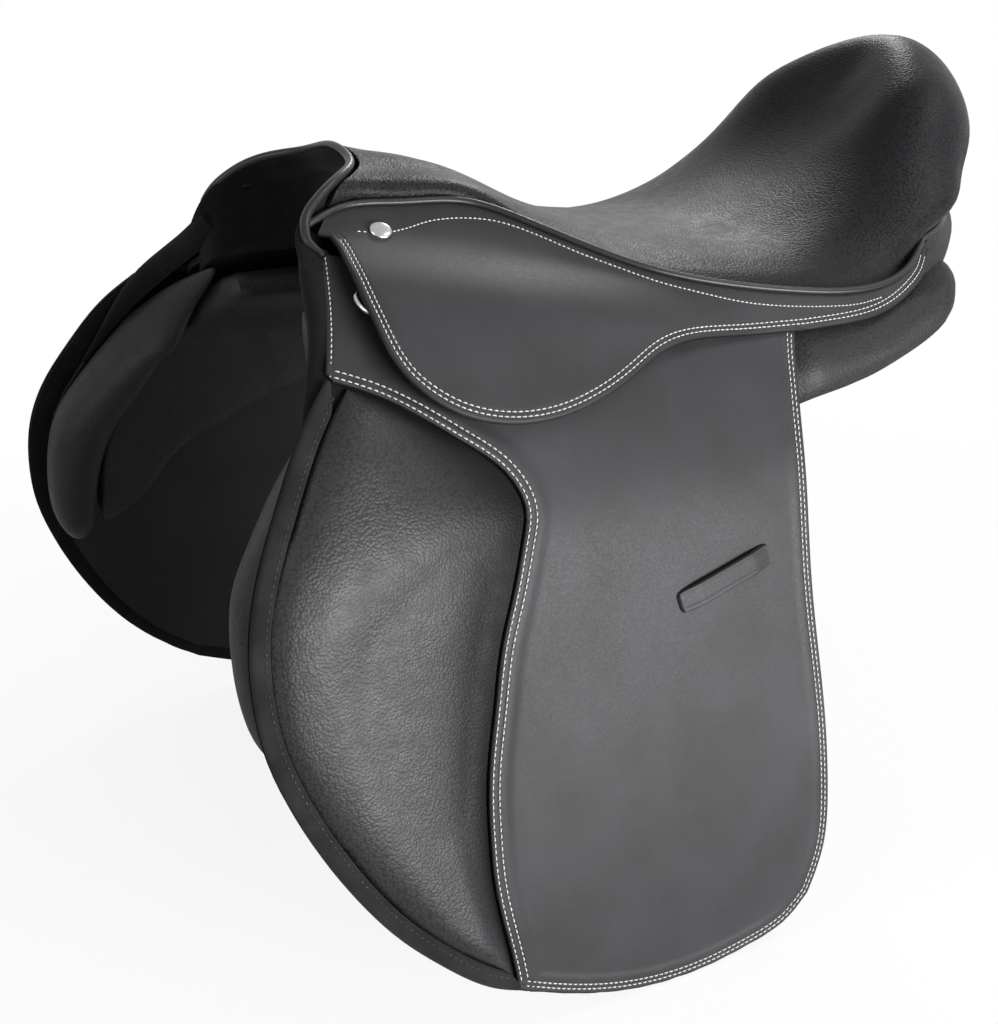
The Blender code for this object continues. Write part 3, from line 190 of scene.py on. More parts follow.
def curve(points, shares=600):
    # a smooth curve through points, at shares of its length or at an even count
    if np.isscalar(shares):
        shares = np.linspace(0, 1, shares)
    along = runLength(points)
    dense = cubic(points, along)(np.linspace(0, along[-1], 800))
    return onRun(dense, shares)


def joined(*lines):
    whole = [curve(lines[0])]
    for line in lines[1:]:
        whole.append(curve(line)[1:])
    return np.concatenate(whole)


def graded(length, coarse, start=False, end=False, fine=0.0008, band=0.0125):
    # shares from 0 to 1 that lie close together beside a worked edge
    marks = [0.0]
    while marks[-1] < length:
        here = marks[-1]
        near = (start and here < band) or (end and length - here < band)
        nearly = (start and here < band * 1.7) or (end and length - here < band * 1.7)
        marks.append(here + (fine if near else fine * 2.2 if nearly else coarse))
    return np.asarray(marks) / marks[-1]


def patch(top, bottom, left, right, rowShares, colShares):
    u = np.asarray(colShares)[None, :, None]
    v = np.asarray(rowShares)[:, None, None]
    down = top[None] * (1 - v) + bottom[None] * v
    over = left[:, None] * (1 - u) + right[:, None] * u
    corners = ((top[0] * (1 - u) + top[-1] * u) * (1 - v)
               + (bottom[0] * (1 - u) + bottom[-1] * u) * v)
    return down + over - corners


def inset(points, width):
    # the line moved to the right of its run
    points = np.asarray(points)
    way = np.gradient(points, axis=0)
    way /= np.linalg.norm(way, axis=1)[:, None]
    return points + width * np.stack([-way[:, 1], way[:, 0]], 1)


def away(plan, line):
    # distance of every plan point from a line
    flat = plan.reshape(-1, 2)
    dense = onRun(line, np.linspace(0, 1, 1400))
    nearest = np.full(len(flat), 9.0)
    for block in np.array_split(dense, 14):
        gaps = flat[:, None] - block[None]
        nearest = np.minimum(nearest, np.sqrt((gaps ** 2).sum(2).min(1)))
    return nearest.reshape(plan.shape[:2])


def ease(x, low, high):
    t = np.clip((np.asarray(x, float) - low) / (high - low), 0, 1)
    return t * t * (3 - 2 * t)


def mirrored(line):
    line = np.asarray(line, float)
    return np.concatenate([line[:0:-1] * (1, -1, 1), line])


def buildSide():
    marks = runLength(sideProfile)
    fine = cubic(sideProfile, marks)(np.linspace(0, marks[-1], 1200))
    length = runLength(fine)
    zero = np.interp(marks[2], np.linspace(0, marks[-1], 1200), length)
    way = np.gradient(fine, length, axis=0)
    way /= np.linalg.norm(way, axis=1)[:, None]
    return length - zero, fine, way


sideS, sideYZ, sideWay = buildSide()


def onSide(x, s, n, side):
    # the point at x, s down the side face and n out of it
    x, s, n = np.broadcast_arrays(np.asarray(x, float), np.asarray(s, float), np.asarray(n, float))
    y = np.interp(s, sideS, sideYZ[:, 0])
    z = np.interp(s, sideS, sideYZ[:, 1])
    wy = np.interp(s, sideS, sideWay[:, 0])
    wz = np.interp(s, sideS, sideWay[:, 1])
    return np.stack([x, side * (y - wz * n), z + wy * n], -1)


def hingeS(x):
    slope = (hingeRear[1] - hingeFront[1]) / (hingeRear[0] - hingeFront[0])
    return hingeFront[1] + slope * (np.asarray(x) - hingeFront[0])


def splitS(x):
    slope = (splitRear[1] - hingeFront[1]) / (splitRear[0] - hingeFront[0])
    return hingeFront[1] + slope * (np.asarray(x) - hingeFront[0])


def hingeFrame(side):
    start = onSide(*hingeFront, hingeOut, side)
    end = onSide(*hingeRear, hingeOut, side)
    run = (end - start) / np.linalg.norm(end - start)
    lower = onSide(-0.13, hingeS(-0.13) + 0.03, hingeOut, side)     # a point below the hinge's middle
    down = lower - start
    down = down - run * down.dot(run)
    down /= np.linalg.norm(down)
    out = np.cross(run, down) * side
    return start, run, down, out


def atHinge(side, a, u, n):
    start, run, down, out = hingeFrame(side)
    return start + run * a + down * u + out * (n - hingeOut)


# Materials
def tone(code, share=1.0):
    # an sRGB hex colour turned linear, at a share of its brightness
    parts = [int(code[i:i + 2], 16) / 255 for i in (1, 3, 5)]
    linear = [c / 12.92 if c <= 0.04045 else ((c + 0.055) / 1.055) ** 2.4 for c in parts]
    return tuple(share * c for c in linear) + (1.0,)


def perMetre(size):
    # how many of a pattern's features, so many millimetres wide, lie in a metre
    return 1000 / size


def link(tree, node, sources):
    for key, (other, socket) in sources.items():
        tree.links.new(other.outputs[socket], node.inputs[key])


def add(tree, kind, values=None, links=None, **settings):
    made = tree.nodes.new("ShaderNode" + kind)
    for key, value in settings.items():
        setattr(made, key, value)
    for key, value in (values or {}).items():
        made.inputs[key].default_value = value
    link(tree, made, links or {})
    return made


def startMaterial(name, rough, metal=0.0):
    made = bpy.data.materials.new(name)
    made.use_nodes = True
    tree = made.node_tree
    shader = tree.nodes["Principled BSDF"]
    shader.inputs["Roughness"].default_value = rough
    shader.inputs["Metallic"].default_value = metal
    shader.inputs["IOR"].default_value = 1.5 if metal else 1.42
    return made, tree, shader, (add(tree, "TexCoord"), "Object")


# Calf leather, drum dyed and lightly waxed: soft broad sheen, hair-cell grain only seen close up,
# clouds where hands have polished it, and a burnished darker edge
calfValues = {"colour": "#222223", "cloud": "#2b2b2d", "edge": "#0f0f10", "rough": 0.47, "shine": 0.18,
              "cloudMm": 62.5, "grainMm": 0.8, "poreMm": 1.429, "bump": 0.1, "deepMm": 0.4}


def calfLeather(name, values):
    made, tree, shader, place = startMaterial(name, values["rough"])
    shader.inputs["Specular IOR Level"].default_value = values["shine"]
    handled = add(tree, "TexNoise", {"Scale": perMetre(values["cloudMm"]), "Detail": 4.0, "Roughness": 0.55},
                  {"Vector": place})
    share = add(tree, "MapRange", {"From Min": 0.35, "From Max": 0.68}, {"Value": (handled, "Fac")})
    clouds = add(tree, "MixRGB", {"Color1": tone(values["colour"]), "Color2": tone(values["cloud"])},
                 {"Fac": (share, "Result")})
    rim = add(tree, "Attribute", attribute_name="edge")
    colour = add(tree, "MixRGB", {"Color2": tone(values["edge"])},
                 {"Fac": (rim, "Fac"), "Color1": (clouds, "Color")})
    # a scatter of fine pores at the real grain's size
    cells = add(tree, "TexVoronoi", {"Scale": perMetre(values["grainMm"])}, {"Vector": place})
    pores = add(tree, "TexNoise", {"Scale": perMetre(values["poreMm"]), "Detail": 3.0}, {"Vector": place})
    grain = add(tree, "MixRGB", {"Fac": 0.5}, {"Color1": (cells, "Distance"), "Color2": (pores, "Fac")})
    bump = add(tree, "Bump", {"Strength": values["bump"], "Distance": values["deepMm"] / 1000},
               {"Height": (grain, "Color")})
    polish = add(tree, "MapRange", {"From Min": 0.3, "From Max": 0.7, "To Min": values["rough"] - 0.05,
                                    "To Max": values["rough"] + 0.06}, {"Value": (pores, "Fac")})
    link(tree, shader, {"Base Color": (colour, "Color"), "Normal": (bump, "Normal"),
                        "Roughness": (polish, "Result")})
    return made


# Cow leather with a pressed pebble grain, soft dressed: low round pebbles under two millimetres
# wide with darker valleys, which break up the sheen, and painted shade in the fold beside a seam,
# where the colour is darker and the sheen weaker
# the fold colour, and the share of the sheen kept in the fold, are painted shade beside a seam
pebbleValues = {"colour": "#202022", "valley": "#151516", "fold": "#101011", "rough": 0.42, "shine": 0.25,
                "foldShadeShine": 0.2, "pebbleMm": 1.5, "stretchMm": 3.846, "pullMm": 0.6, "creaseMm": 9.091,
                "dyeMm": 71.43, "bump": 0.24, "deepMm": 0.45}


def pebbleLeather(name, values):
    made, tree, shader, place = startMaterial(name, values["rough"])
    # the rows of pebbles are bent a little, as a hide stretches under the press
    stretch = add(tree, "TexNoise", {"Scale": perMetre(values["stretchMm"]), "Detail": 2.0},
                  {"Vector": place})
    pull = add(tree, "VectorMath", {1: (values["pullMm"] / 1000,) * 3}, {0: (stretch, "Color")},
               operation="MULTIPLY")
    bent = add(tree, "VectorMath", None, {0: place, 1: (pull, "Vector")}, operation="ADD")
    cells = add(tree, "TexVoronoi", {"Scale": perMetre(values["pebbleMm"]), "Randomness": 0.85},
                {"Vector": (bent, "Vector")})
    dome = add(tree, "Math", {1: 2.0}, {0: (cells, "Distance")}, operation="POWER")
    pebble = add(tree, "MapRange", {"From Max": 0.5, "To Min": 1.0, "To Max": 0.0},
                 {"Value": (dome, "Value")})
    creases = add(tree, "TexNoise", {"Scale": perMetre(values["creaseMm"]), "Detail": 5.0, "Roughness": 0.62},
                  {"Vector": place})
    dye = add(tree, "TexNoise", {"Scale": perMetre(values["dyeMm"]), "Detail": 3.0}, {"Vector": place})
    between = add(tree, "MapRange", {"From Min": 0.42, "From Max": 0.72}, {"Value": (cells, "Distance")})
    valley = add(tree, "MixRGB", {"Color1": tone(values["colour"]), "Color2": tone(values["valley"])},
                 {"Fac": (between, "Result")})
    shade = add(tree, "MixRGB", {"Fac": 0.1}, {"Color1": (valley, "Color"), "Color2": (dye, "Fac")},
                blend_type="OVERLAY")
    # painted shade: where the edge attribute marks the fold beside a seam, the colour darkens and the sheen
    # drops
    rim = add(tree, "Attribute", attribute_name="edge")
    colour = add(tree, "MixRGB", {"Color2": tone(values["fold"])},
                 {"Fac": (rim, "Fac"), "Color1": (shade, "Color")})
    shadedShine = values["shine"] * values["foldShadeShine"]
    shine = add(tree, "MapRange", {"To Min": values["shine"], "To Max": shadedShine}, {"Value": (rim, "Fac")})
    height = add(tree, "Math", {1: 0.08}, {0: (creases, "Fac")}, operation="MULTIPLY")
    total = add(tree, "Math", None, {0: (pebble, "Result"), 1: (height, "Value")}, operation="ADD")
    bump = add(tree, "Bump", {"Strength": values["bump"], "Distance": values["deepMm"] / 1000},
               {"Height": (total, "Value")})
    polish = add(tree, "MapRange", {"From Min": 0.35, "From Max": 0.65, "To Min": values["rough"] - 0.04,
                                    "To Max": values["rough"] + 0.06}, {"Value": (creases, "Fac")})
    link(tree, shader, {"Base Color": (colour, "Color"), "Specular IOR Level": (shine, "Result"),
                        "Normal": (bump, "Normal"), "Roughness": (polish, "Result")})
    return made


# Split suede, brushed: short nap that swallows light and shows faint lighter strokes
suedeValues = {"colour": "#060606", "stroke": "#0d0d0d", "rough": 0.95, "napMm": 0.7692, "strokeMm": 18.18,
               "bump": 0.5, "deepMm": 0.4}


def splitSuede(name, values):
    made, tree, shader, place = startMaterial(name, values["rough"])
    for socket, value in (("Sheen Weight", 0.04), ("Sheen Roughness", 0.6), ("Specular IOR Level", 0.1)):
        shader.inputs[socket].default_value = value
    nap = add(tree, "TexNoise", {"Scale": perMetre(values["napMm"]), "Detail": 4.0}, {"Vector": place})
    stroke = add(tree, "TexNoise", {"Scale": perMetre(values["strokeMm"]), "Detail": 4.0}, {"Vector": place})
    share = add(tree, "MapRange", {"From Min": 0.4, "From Max": 0.65}, {"Value": (stroke, "Fac")})
    colour = add(tree, "MixRGB", {"Color1": tone(values["colour"]), "Color2": tone(values["stroke"])},
                 {"Fac": (share, "Result")})
    bump = add(tree, "Bump", {"Strength": values["bump"], "Distance": values["deepMm"] / 1000},
               {"Height": (nap, "Fac")})
    link(tree, shader, {"Base Color": (colour, "Color"), "Normal": (bump, "Normal")})
    return made


# Waxed linen thread, twisted: grey plies that catch a little light. The plies are drawn several
# times coarser than real ones, so that they show
threadValues = {"pale": "#a6a7a5", "dark": "#151515", "rough": 0.55, "darkRough": 0.5, "soil": 0.8,
                "plyMm": 1.496, "soilMm": 3.333}


def linenThread(name, colour, rough):
    made, tree, shader, place = startMaterial(name, rough)
    # diagonal bands repeat every pi/5 of a unit along each axis
    plies = add(tree, "TexWave", {"Scale": perMetre(threadValues["plyMm"]) * math.pi / 5, "Distortion": 1.5,
                                  "Detail": 1.0}, {"Vector": place}, bands_direction="DIAGONAL")
    soil = add(tree, "TexNoise", {"Scale": perMetre(threadValues["soilMm"])}, {"Vector": place})
    share = add(tree, "MapRange", {"From Min": 0.3, "From Max": 0.7}, {"Value": (soil, "Fac")})
    shade = add(tree, "MixRGB", {"Color1": tone(colour, threadValues["soil"]), "Color2": tone(colour)},
                {"Fac": (share, "Result")})
    bump = add(tree, "Bump", {"Strength": 0.4, "Distance": 0.0002}, {"Height": (plies, "Fac")})
    link(tree, shader, {"Base Color": (shade, "Color"), "Normal": (bump, "Normal")})
    return made


# Nickel plate over brass, polished then handled: soft mirror with fine rub marks.
# Bar steel, forged and tumbled, is made the same way, greyer and duller
nickelValues = {"colour": "#b2b1af", "rough": 0.22, "scratch": 0.1, "worn": 0.82, "rubMm": 1.111,
                "handMm": 8.333}
steelValues = {**nickelValues, "colour": "#8f9092", "rough": 0.36, "scratch": 0.12}


def handledMetal(name, values):
    made, tree, shader, place = startMaterial(name, values["rough"], 1.0)
    rub = add(tree, "TexNoise", {"Scale": perMetre(values["rubMm"]), "Detail": 5.0}, {"Vector": place})
    hands = add(tree, "TexNoise", {"Scale": perMetre(values["handMm"]), "Detail": 2.0}, {"Vector": place})
    share = add(tree, "MapRange", {"From Min": 0.35, "From Max": 0.65}, {"Value": (hands, "Fac")})
    colour = values["colour"]
    shade = add(tree, "MixRGB", {"Color1": tone(colour, values["worn"]), "Color2": tone(colour)},
                {"Fac": (share, "Result")})
    polish = add(tree, "MapRange", {"From Min": 0.3, "From Max": 0.7, "To Min": values["rough"] - 0.04,
                                    "To Max": values["rough"] + values["scratch"]}, {"Value": (rub, "Fac")})
    bump = add(tree, "Bump", {"Strength": 0.05, "Distance": 0.0002}, {"Height": (rub, "Fac")})
    link(tree, shader, {"Base Color": (shade, "Color"), "Normal": (bump, "Normal"),
                        "Roughness": (polish, "Result")})
    return made


# Beech plies, sawn and glued: long pale grain
beechValues = {"dark": "#8a6238", "pale": "#b88a55", "rough": 0.62, "longMm": 27.78, "acrossMm": 2.778}


def beechPly(name, values):
    made, tree, shader, place = startMaterial(name, values["rough"])
    long, across = perMetre(values["longMm"]), perMetre(values["acrossMm"])
    drawn = add(tree, "Mapping", {"Scale": (long, across, across)}, {"Vector": place})
    grain = add(tree, "TexNoise", {"Scale": 1.0, "Detail": 6.0}, {"Vector": (drawn, "Vector")})
    share = add(tree, "MapRange", {"From Min": 0.35, "From Max": 0.65}, {"Value": (grain, "Fac")})
    colour = add(tree, "MixRGB", {"Color1": tone(values["dark"]), "Color2": tone(values["pale"])},
                 {"Fac": (share, "Result")})
    bump = add(tree, "Bump", {"Strength": 0.2, "Distance": 0.0005}, {"Height": (grain, "Fac")})
    link(tree, shader, {"Base Color": (colour, "Color"), "Normal": (bump, "Normal")})
    return made


# Cotton webbing, plain weave: yarns a millimetre wide cross with a millimetre between them
webValues = {"shade": "#8f8872", "yarn": "#b9b29a", "rough": 0.88, "yarnMm": 1.9635}


def cottonWeb(name, values):
    made, tree, shader, place = startMaterial(name, values["rough"])
    # straight bands repeat every pi/10 of a unit
    scale = perMetre(values["yarnMm"]) * math.pi / 10
    warp = add(tree, "TexWave", {"Scale": scale}, {"Vector": place}, bands_direction="X")
    weft = add(tree, "TexWave", {"Scale": scale}, {"Vector": place}, bands_direction="Y")
    both = add(tree, "Math", None, {0: (warp, "Fac"), 1: (weft, "Fac")}, operation="MULTIPLY")
    colour = add(tree, "MixRGB", {"Color1": tone(values["shade"]), "Color2": tone(values["yarn"])},
                 {"Fac": (both, "Value")})
    bump = add(tree, "Bump", {"Strength": 0.5, "Distance": 0.0005}, {"Height": (both, "Value")})
    link(tree, shader, {"Base Color": (colour, "Color"), "Normal": (bump, "Normal")})
    return made


calf = calfLeather("calf_leather", calfValues)
pipingHide = calfLeather("piping_leather", {**calfValues, "colour": "#141415", "cloud": "#1b1b1c",
                                            "rough": 0.34, "shine": 0.35})
strapHide = calfLeather("strap_leather", {**calfValues, "colour": "#121213", "cloud": "#19191a",
                                          "rough": 0.5})
pebble = pebbleLeather("pebble_leather", pebbleValues)
seatHide = pebbleLeather("seat_leather", {**pebbleValues, "colour": "#1a1a1c", "valley": "#0f0f10",
                                          "bump": 0.3, "rough": 0.38, "shine": 0.1})
panelHide = pebbleLeather("panel_leather", {**pebbleValues, "colour": "#1b1b1c", "valley": "#121213",
                                            "rough": 0.5})
suede = splitSuede("split_suede", suedeValues)
# thin split leather turned over the flap's edge, and needled wool felt, have a nap too
bindingHide = splitSuede("binding_suede", {**suedeValues, "colour": "#121213", "stroke": "#1c1c1d",
                                           "rough": 0.85})
foamFelt = splitSuede("wool_felt", {**suedeValues, "colour": "#a39c86", "stroke": "#b8b19a"})
paleThread = linenThread("pale_thread", threadValues["pale"], threadValues["rough"])
darkThread = linenThread("dark_thread", threadValues["dark"], threadValues["darkRough"])
nickel = handledMetal("nickel_plate", nickelValues)
steel = handledMetal("bar_steel", steelValues)
beech = beechPly("beech_ply", beechValues)
webbing = cottonWeb("cotton_web", webValues)
print("saddle: materials made")


# Meshes
def makeMesh(name, points, faces, look, body, replaced=(), attribute=None, angle=40):
    mesh = bpy.data.meshes.new(name)
    mesh.from_pydata([tuple(p) for p in points], [], faces)
    if attribute is not None:
        layer = mesh.attributes.new("edge", "FLOAT", "POINT")
        layer.data.foreach_set("value", np.asarray(attribute, dtype=np.float32))
    bm = bmesh.new()
    bm.from_mesh(mesh)
    bmesh.ops.remove_doubles(bm, verts=bm.verts, dist=2e-6)
    bmesh.ops.dissolve_degenerate(bm, edges=bm.edges, dist=1e-7)
    bmesh.ops.recalc_face_normals(bm, faces=bm.faces)
    bm.to_mesh(mesh)
    bm.free()
    for face in mesh.polygons:
        face.use_smooth = True
    mesh.set_sharp_from_angle(angle=math.radians(angle))
    thing = bpy.data.objects.new(name, mesh)
    bpy.context.scene.collection.objects.link(thing)
    thing.data.materials.append(look)
    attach(thing, body)
    if replaced:
        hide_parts(*replaced)
    return thing


def gridFaces(rows, cols, start=0, loop=False, flip=False):
    faces = []
    for i in range(rows - 1):
        for j in range(cols if loop else cols - 1):
            k = (j + 1) % cols
            here, below = start + i * cols, start + (i + 1) * cols
            quad = (here + j, here + k, below + k, below + j)
            faces.append(quad[::-1] if flip else quad)
    return faces


def shellFaces(rows, cols, folded=False):
    # two grids, one behind the other, and the rim between them; a folded end needs no rim
    base = rows * cols
    faces = gridFaces(rows, cols) + gridFaces(rows, cols, base, flip=True)
    rim = [(0, j) for j in range(cols)] + [(i, cols - 1) for i in range(1, rows)]
    rim += [(rows - 1, j) for j in range(cols - 2, -1, -1)] + [(i, 0) for i in range(rows - 2, 0, -1)]
    for k, (i, j) in enumerate(rim):
        p, q = rim[(k + 1) % len(rim)]
        if folded and i == rows - 1 and p == rows - 1:
            continue
        faces.append((i * cols + j, base + i * cols + j, base + p * cols + q, p * cols + q))
    return faces


def shell(name, outer, inner, look, body, replaced=(), mark=None, folded=False):
    # a closed piece between two grids of points, one behind the other
    rows, cols = outer.shape[:2]
    points = np.concatenate([outer.reshape(-1, 3), inner.reshape(-1, 3)])
    return makeMesh(name, points, shellFaces(rows, cols, folded), look, body, replaced, mark)


def leather(name, plan, high, low, side, look, body, replaced=(), edge=None):
    # a leaf of leather between two heights over its plan, darker where edge marks it
    outer = onSide(plan[..., 0], plan[..., 1], high, side)
    inner = onSide(plan[..., 0], plan[..., 1], low, side)
    mark = None
    if edge is not None:
        flat = np.broadcast_to(edge, plan.shape[:2]).reshape(-1)
        mark = np.concatenate([flat, np.ones(len(flat))])
    return shell(name, outer, inner, look, body, replaced, mark)


def cordMesh(name, path, radius, look, body, replaced=(), sidesRound=14, closed=False, squeeze=1.0):
    # a round cord along a path, its ends closed
    path = np.asarray(path, float)
    radius = np.broadcast_to(radius, len(path))
    way = np.gradient(path, axis=0)
    if closed:
        way = np.roll(path, -1, 0) - np.roll(path, 1, 0)
    way /= np.linalg.norm(way, axis=1)[:, None]
    first = np.cross(way[0], (0.0, 0.0, 1.0))
    if np.linalg.norm(first) < 0.1:
        first = np.cross(way[0], (0.0, 1.0, 0.0))
    rings = []
    for p, w, size in zip(path, way, radius):
        first = first - w * first.dot(w)
        first /= np.linalg.norm(first)
        second = np.cross(w, first)
        turn = np.linspace(0, 2 * math.pi, sidesRound, endpoint=False)
        circle = np.cos(turn)[:, None] * first + squeeze * np.sin(turn)[:, None] * second
        rings.append(p + size * circle)
    points = np.asarray(rings).reshape(-1, 3)
    faces = gridFaces(len(path), sidesRound, loop=True)
    if closed:
        base = (len(path) - 1) * sidesRound
        after = [(j + 1) % sidesRound for j in range(sidesRound)]
        faces += [(base + j, base + k, k, j) for j, k in enumerate(after)]
    else:
        faces.append(tuple(range(sidesRound)))
        faces.append(tuple(range(len(points) - 1, len(points) - sidesRound - 1, -1)))
    return makeMesh(name, points, faces, look, body, replaced)


# a stitch's sizes, and how many points it is drawn with
stitchValues = {"pitch": 0.0032, "length": 0.0024, "radius": 0.00036, "around": 7, "along": 7}


def stitches(name, path, out, body, look=paleThread, pitch=None, length=None):
    # separate stitches along a path, each a short arch of thread that dips in at both ends
    pitch = pitch or stitchValues["pitch"]
    length = length or stitchValues["length"]
    radius = stitchValues["radius"]
    total = runLength(path)[-1]
    count = max(1, int(round(total / pitch)))
    shares = (np.arange(count) + 0.5) / count
    middle = onRun(path, shares)
    reach = 0.2 / count
    ahead = onRun(path, np.minimum(1, shares + reach)) - onRun(path, np.maximum(0, shares - reach))
    ahead /= np.linalg.norm(ahead, axis=1)[:, None]
    up = onRun(out, shares)
    up = up - ahead * (up * ahead).sum(1)[:, None]
    up /= np.linalg.norm(up, axis=1)[:, None]
    over = np.cross(ahead, up)
    marks = np.linspace(-1, 1, stitchValues["along"])
    turn = np.linspace(0, 2 * math.pi, stitchValues["around"], endpoint=False)
    points, faces = [], []
    for c, a, o, u in zip(middle, ahead, over, up):
        base = len(points)
        for m in marks:
            thick = radius * (0.45 + 0.55 * math.sqrt(max(0.0, 1 - m * m)))
            lift = radius * (0.95 - m * m)
            spot = c + a * (m * length / 2)
            for t in turn:
                points.append(spot + u * (lift + thick * math.sin(t)) + o * thick * math.cos(t))
        faces += gridFaces(len(marks), len(turn), base, loop=True)
        faces.append(tuple(range(base + len(turn) - 1, base - 1, -1)))
        faces.append(tuple(range(len(points) - len(turn), len(points))))
    mesh = bpy.data.meshes.new(name)
    mesh.from_pydata([tuple(p) for p in points], [], faces)
    for face in mesh.polygons:
        face.use_smooth = True
    thing = bpy.data.objects.new(name, mesh)
    bpy.context.scene.collection.objects.link(thing)
    thing.data.materials.append(look)
    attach(thing, body)
    return thing


def sewOnSide(name, line, height, side, body, **more):
    # stitches along a line of x and s, at a height above the side face
    line = onRun(line, np.linspace(0, 1, 400))
    high = height(line[:, 0], line[:, 1]) if callable(height) else height
    path = onSide(line[:, 0], line[:, 1], high, side)
    out = onSide(line[:, 0], line[:, 1], high + 0.01, side) - path
    return stitches(name, path, out, body, **more)


def cutBy(thing, outline, place, depth):
    # take a prism out of a piece
    bm = bmesh.new()
    lower = [bm.verts.new((a, u, -depth)) for a, u in outline]
    upper = [bm.verts.new((a, u, depth)) for a, u in outline]
    count = len(outline)
    bm.faces.new(lower[::-1])
    bm.faces.new(upper)
    for i in range(count):
        j = (i + 1) % count
        bm.faces.new((lower[i], lower[j], upper[j], upper[i]))
    bmesh.ops.recalc_face_normals(bm, faces=bm.faces)
    mesh = bpy.data.meshes.new("cutter")
    bm.to_mesh(mesh)
    bm.free()
    cutter = bpy.data.objects.new("cutter", mesh)
    cutter.matrix_world = place
    bpy.context.scene.collection.objects.link(cutter)
    tool = thing.modifiers.new("slot", "BOOLEAN")
    tool.object = cutter
    tool.solver = "EXACT"
    bpy.context.view_layer.update()
    seen = thing.evaluated_get(bpy.context.evaluated_depsgraph_get())
    result = bpy.data.meshes.new_from_object(seen)
    thing.modifiers.remove(tool)
    thing.data = result
    bpy.data.objects.remove(cutter, do_unlink=True)


# Padding
stuffingValues = {"quality": 6, "mass": 0.3, "stretch": 15, "bend": 2.0, "evenings": 14}


def stuff(points, faces, held, pressure, cap, shape, frames=14):
    # blow a soft form up like stuffing does; held points stay where they are sewn
    mesh = bpy.data.meshes.new("stuffing")
    mesh.from_pydata([tuple(p) for p in points], [], faces)
    soft = bpy.data.objects.new("stuffing", mesh)
    bpy.context.scene.collection.objects.link(soft)
    pins = soft.vertex_groups.new(name="sewn")
    pins.add([int(i) for i in held], 1.0, "REPLACE")
    cloth = soft.modifiers.new("stuffing", "CLOTH")
    cloth.settings.quality = stuffingValues["quality"]
    cloth.settings.mass = stuffingValues["mass"]
    cloth.settings.tension_stiffness = stuffingValues["stretch"]
    cloth.settings.compression_stiffness = stuffingValues["stretch"]
    cloth.settings.bending_stiffness = stuffingValues["bend"]
    cloth.settings.use_pressure = True
    cloth.settings.uniform_pressure_force = pressure
    cloth.settings.vertex_group_mass = "sewn"
    cloth.settings.effector_weights.gravity = 0.0
    cloth.collision_settings.use_collision = False
    cloth.collision_settings.use_self_collision = False
    cloth.point_cache.frame_end = frames + 1
    scene = bpy.context.scene
    for step in range(1, frames + 1):
        scene.frame_set(step)
    seen = soft.evaluated_get(bpy.context.evaluated_depsgraph_get())
    blown = np.array([tuple(v.co) for v in seen.data.vertices])
    scene.frame_set(1)
    bpy.data.objects.remove(soft, do_unlink=True)
    move = blown - points
    # even out the buckles that stuffing by hand would press away
    rows, cols = shape
    face = move[:rows * cols].reshape(rows, cols, 3).copy()
    for _ in range(stuffingValues["evenings"]):
        face[1:-1, 1:-1] = (face[1:-1, 1:-1] + face[:-2, 1:-1] + face[2:, 1:-1]
                            + face[1:-1, :-2] + face[1:-1, 2:]) / 5
    move[:rows * cols] = face.reshape(-1, 3)
    size = np.linalg.norm(move, axis=1)
    share = np.minimum(1.0, cap / np.maximum(size, 1e-9))
    print("saddle: stuffed, largest move mm", round(float(min(size.max(), cap)) * 1000, 1))
    return points + move * share[:, None]


# Seat
seatValues = {"rows": 110, "cols": 44, "tuckWidth": 0.05, "tuckDepth": 0.0008, "swell": 0.0006,
              "swellAt": 0.9, "swellWide": 0.05, "foamDown": 0.0026, "foamThin": 0.62, "foamFrom": 8,
              "foamIn": 3, "aboveWelt": 0.0024, "out": 0.0014, "rearDown": 0.0022, "pullFrom": 0.72,
              "creaseX": 0.13, "creaseZ": 0.135, "creaseHalf": 0.012}


def seatSurface(rows, cols):
    # outer face of the seat, far half; rows from pommel to cantle, columns from spine to welt
    welt = curve(weltLine, 401)
    rim = curve(headRim, 61) + (0.003, 0, 0)      # the seat starts behind the pommel's piping
    first = [tuple(np.interp(y, rim[:, 1], rim[:, k]) for k in range(3)) for y in mm(0, 20, 36, 47, 54.5)]
    lines = [first] + [list(line) for line in seatLines]
    shares = np.linspace(0, 1, cols)
    sampled = []
    for i, line in enumerate(lines):
        if i < len(seatWeltX):
            x = seatWeltX[i]
            edge = onSide(x, np.interp(x, welt[:, 0], welt[:, 1]) - 0.0036, 0.0012, 1)
        else:
            edge = np.asarray(weltRear[i - len(seatWeltX) + 1])
        whole = np.asarray(list(line) + [tuple(edge)], float)
        if abs(whole[-1, 1]) < 1e-6:               # the last line runs down the spine
            sampled.append(curve(whole, shares))
        else:
            sampled.append(curve(mirrored(whole), 0.5 + shares / 2))
    sampled += [line * (1, -1, 1) for line in sampled[-2:-4:-1]]
    sampled = np.asarray(sampled)
    along = runLength(sampled[:, cols // 2])
    want = np.linspace(0, along[-3], rows)
    surface = cubic(sampled.reshape(len(sampled), -1), along)(want).reshape(rows, cols, 3)
    surface[:, 0, 1] = 0.0
    surface[-1, :, 1] = 0.0
    # bring the edge onto the welt all the way round
    x = np.linspace(seatWeltX[0], seatWeltX[-1], 300)
    edge = onSide(x, np.interp(x, welt[:, 0], welt[:, 1]) - seatValues["aboveWelt"], seatValues["out"], 1)
    rear = [tuple(np.asarray(p) - (0.0, 0.0, seatValues["rearDown"])) for p in weltRear]
    edge = np.concatenate([edge, curve([tuple(edge[-1])] + rear, 300)[1:]])
    gaps = np.linalg.norm(surface[:, -1][:, None] - edge[None], axis=2)
    pull = edge[gaps.argmin(1)] - surface[:, -1]
    surface = surface + pull[:, None] * ease(shares, seatValues["pullFrom"], 1.0)[None, :, None]
    surface[-1, :, 1] = 0.0
    return surface


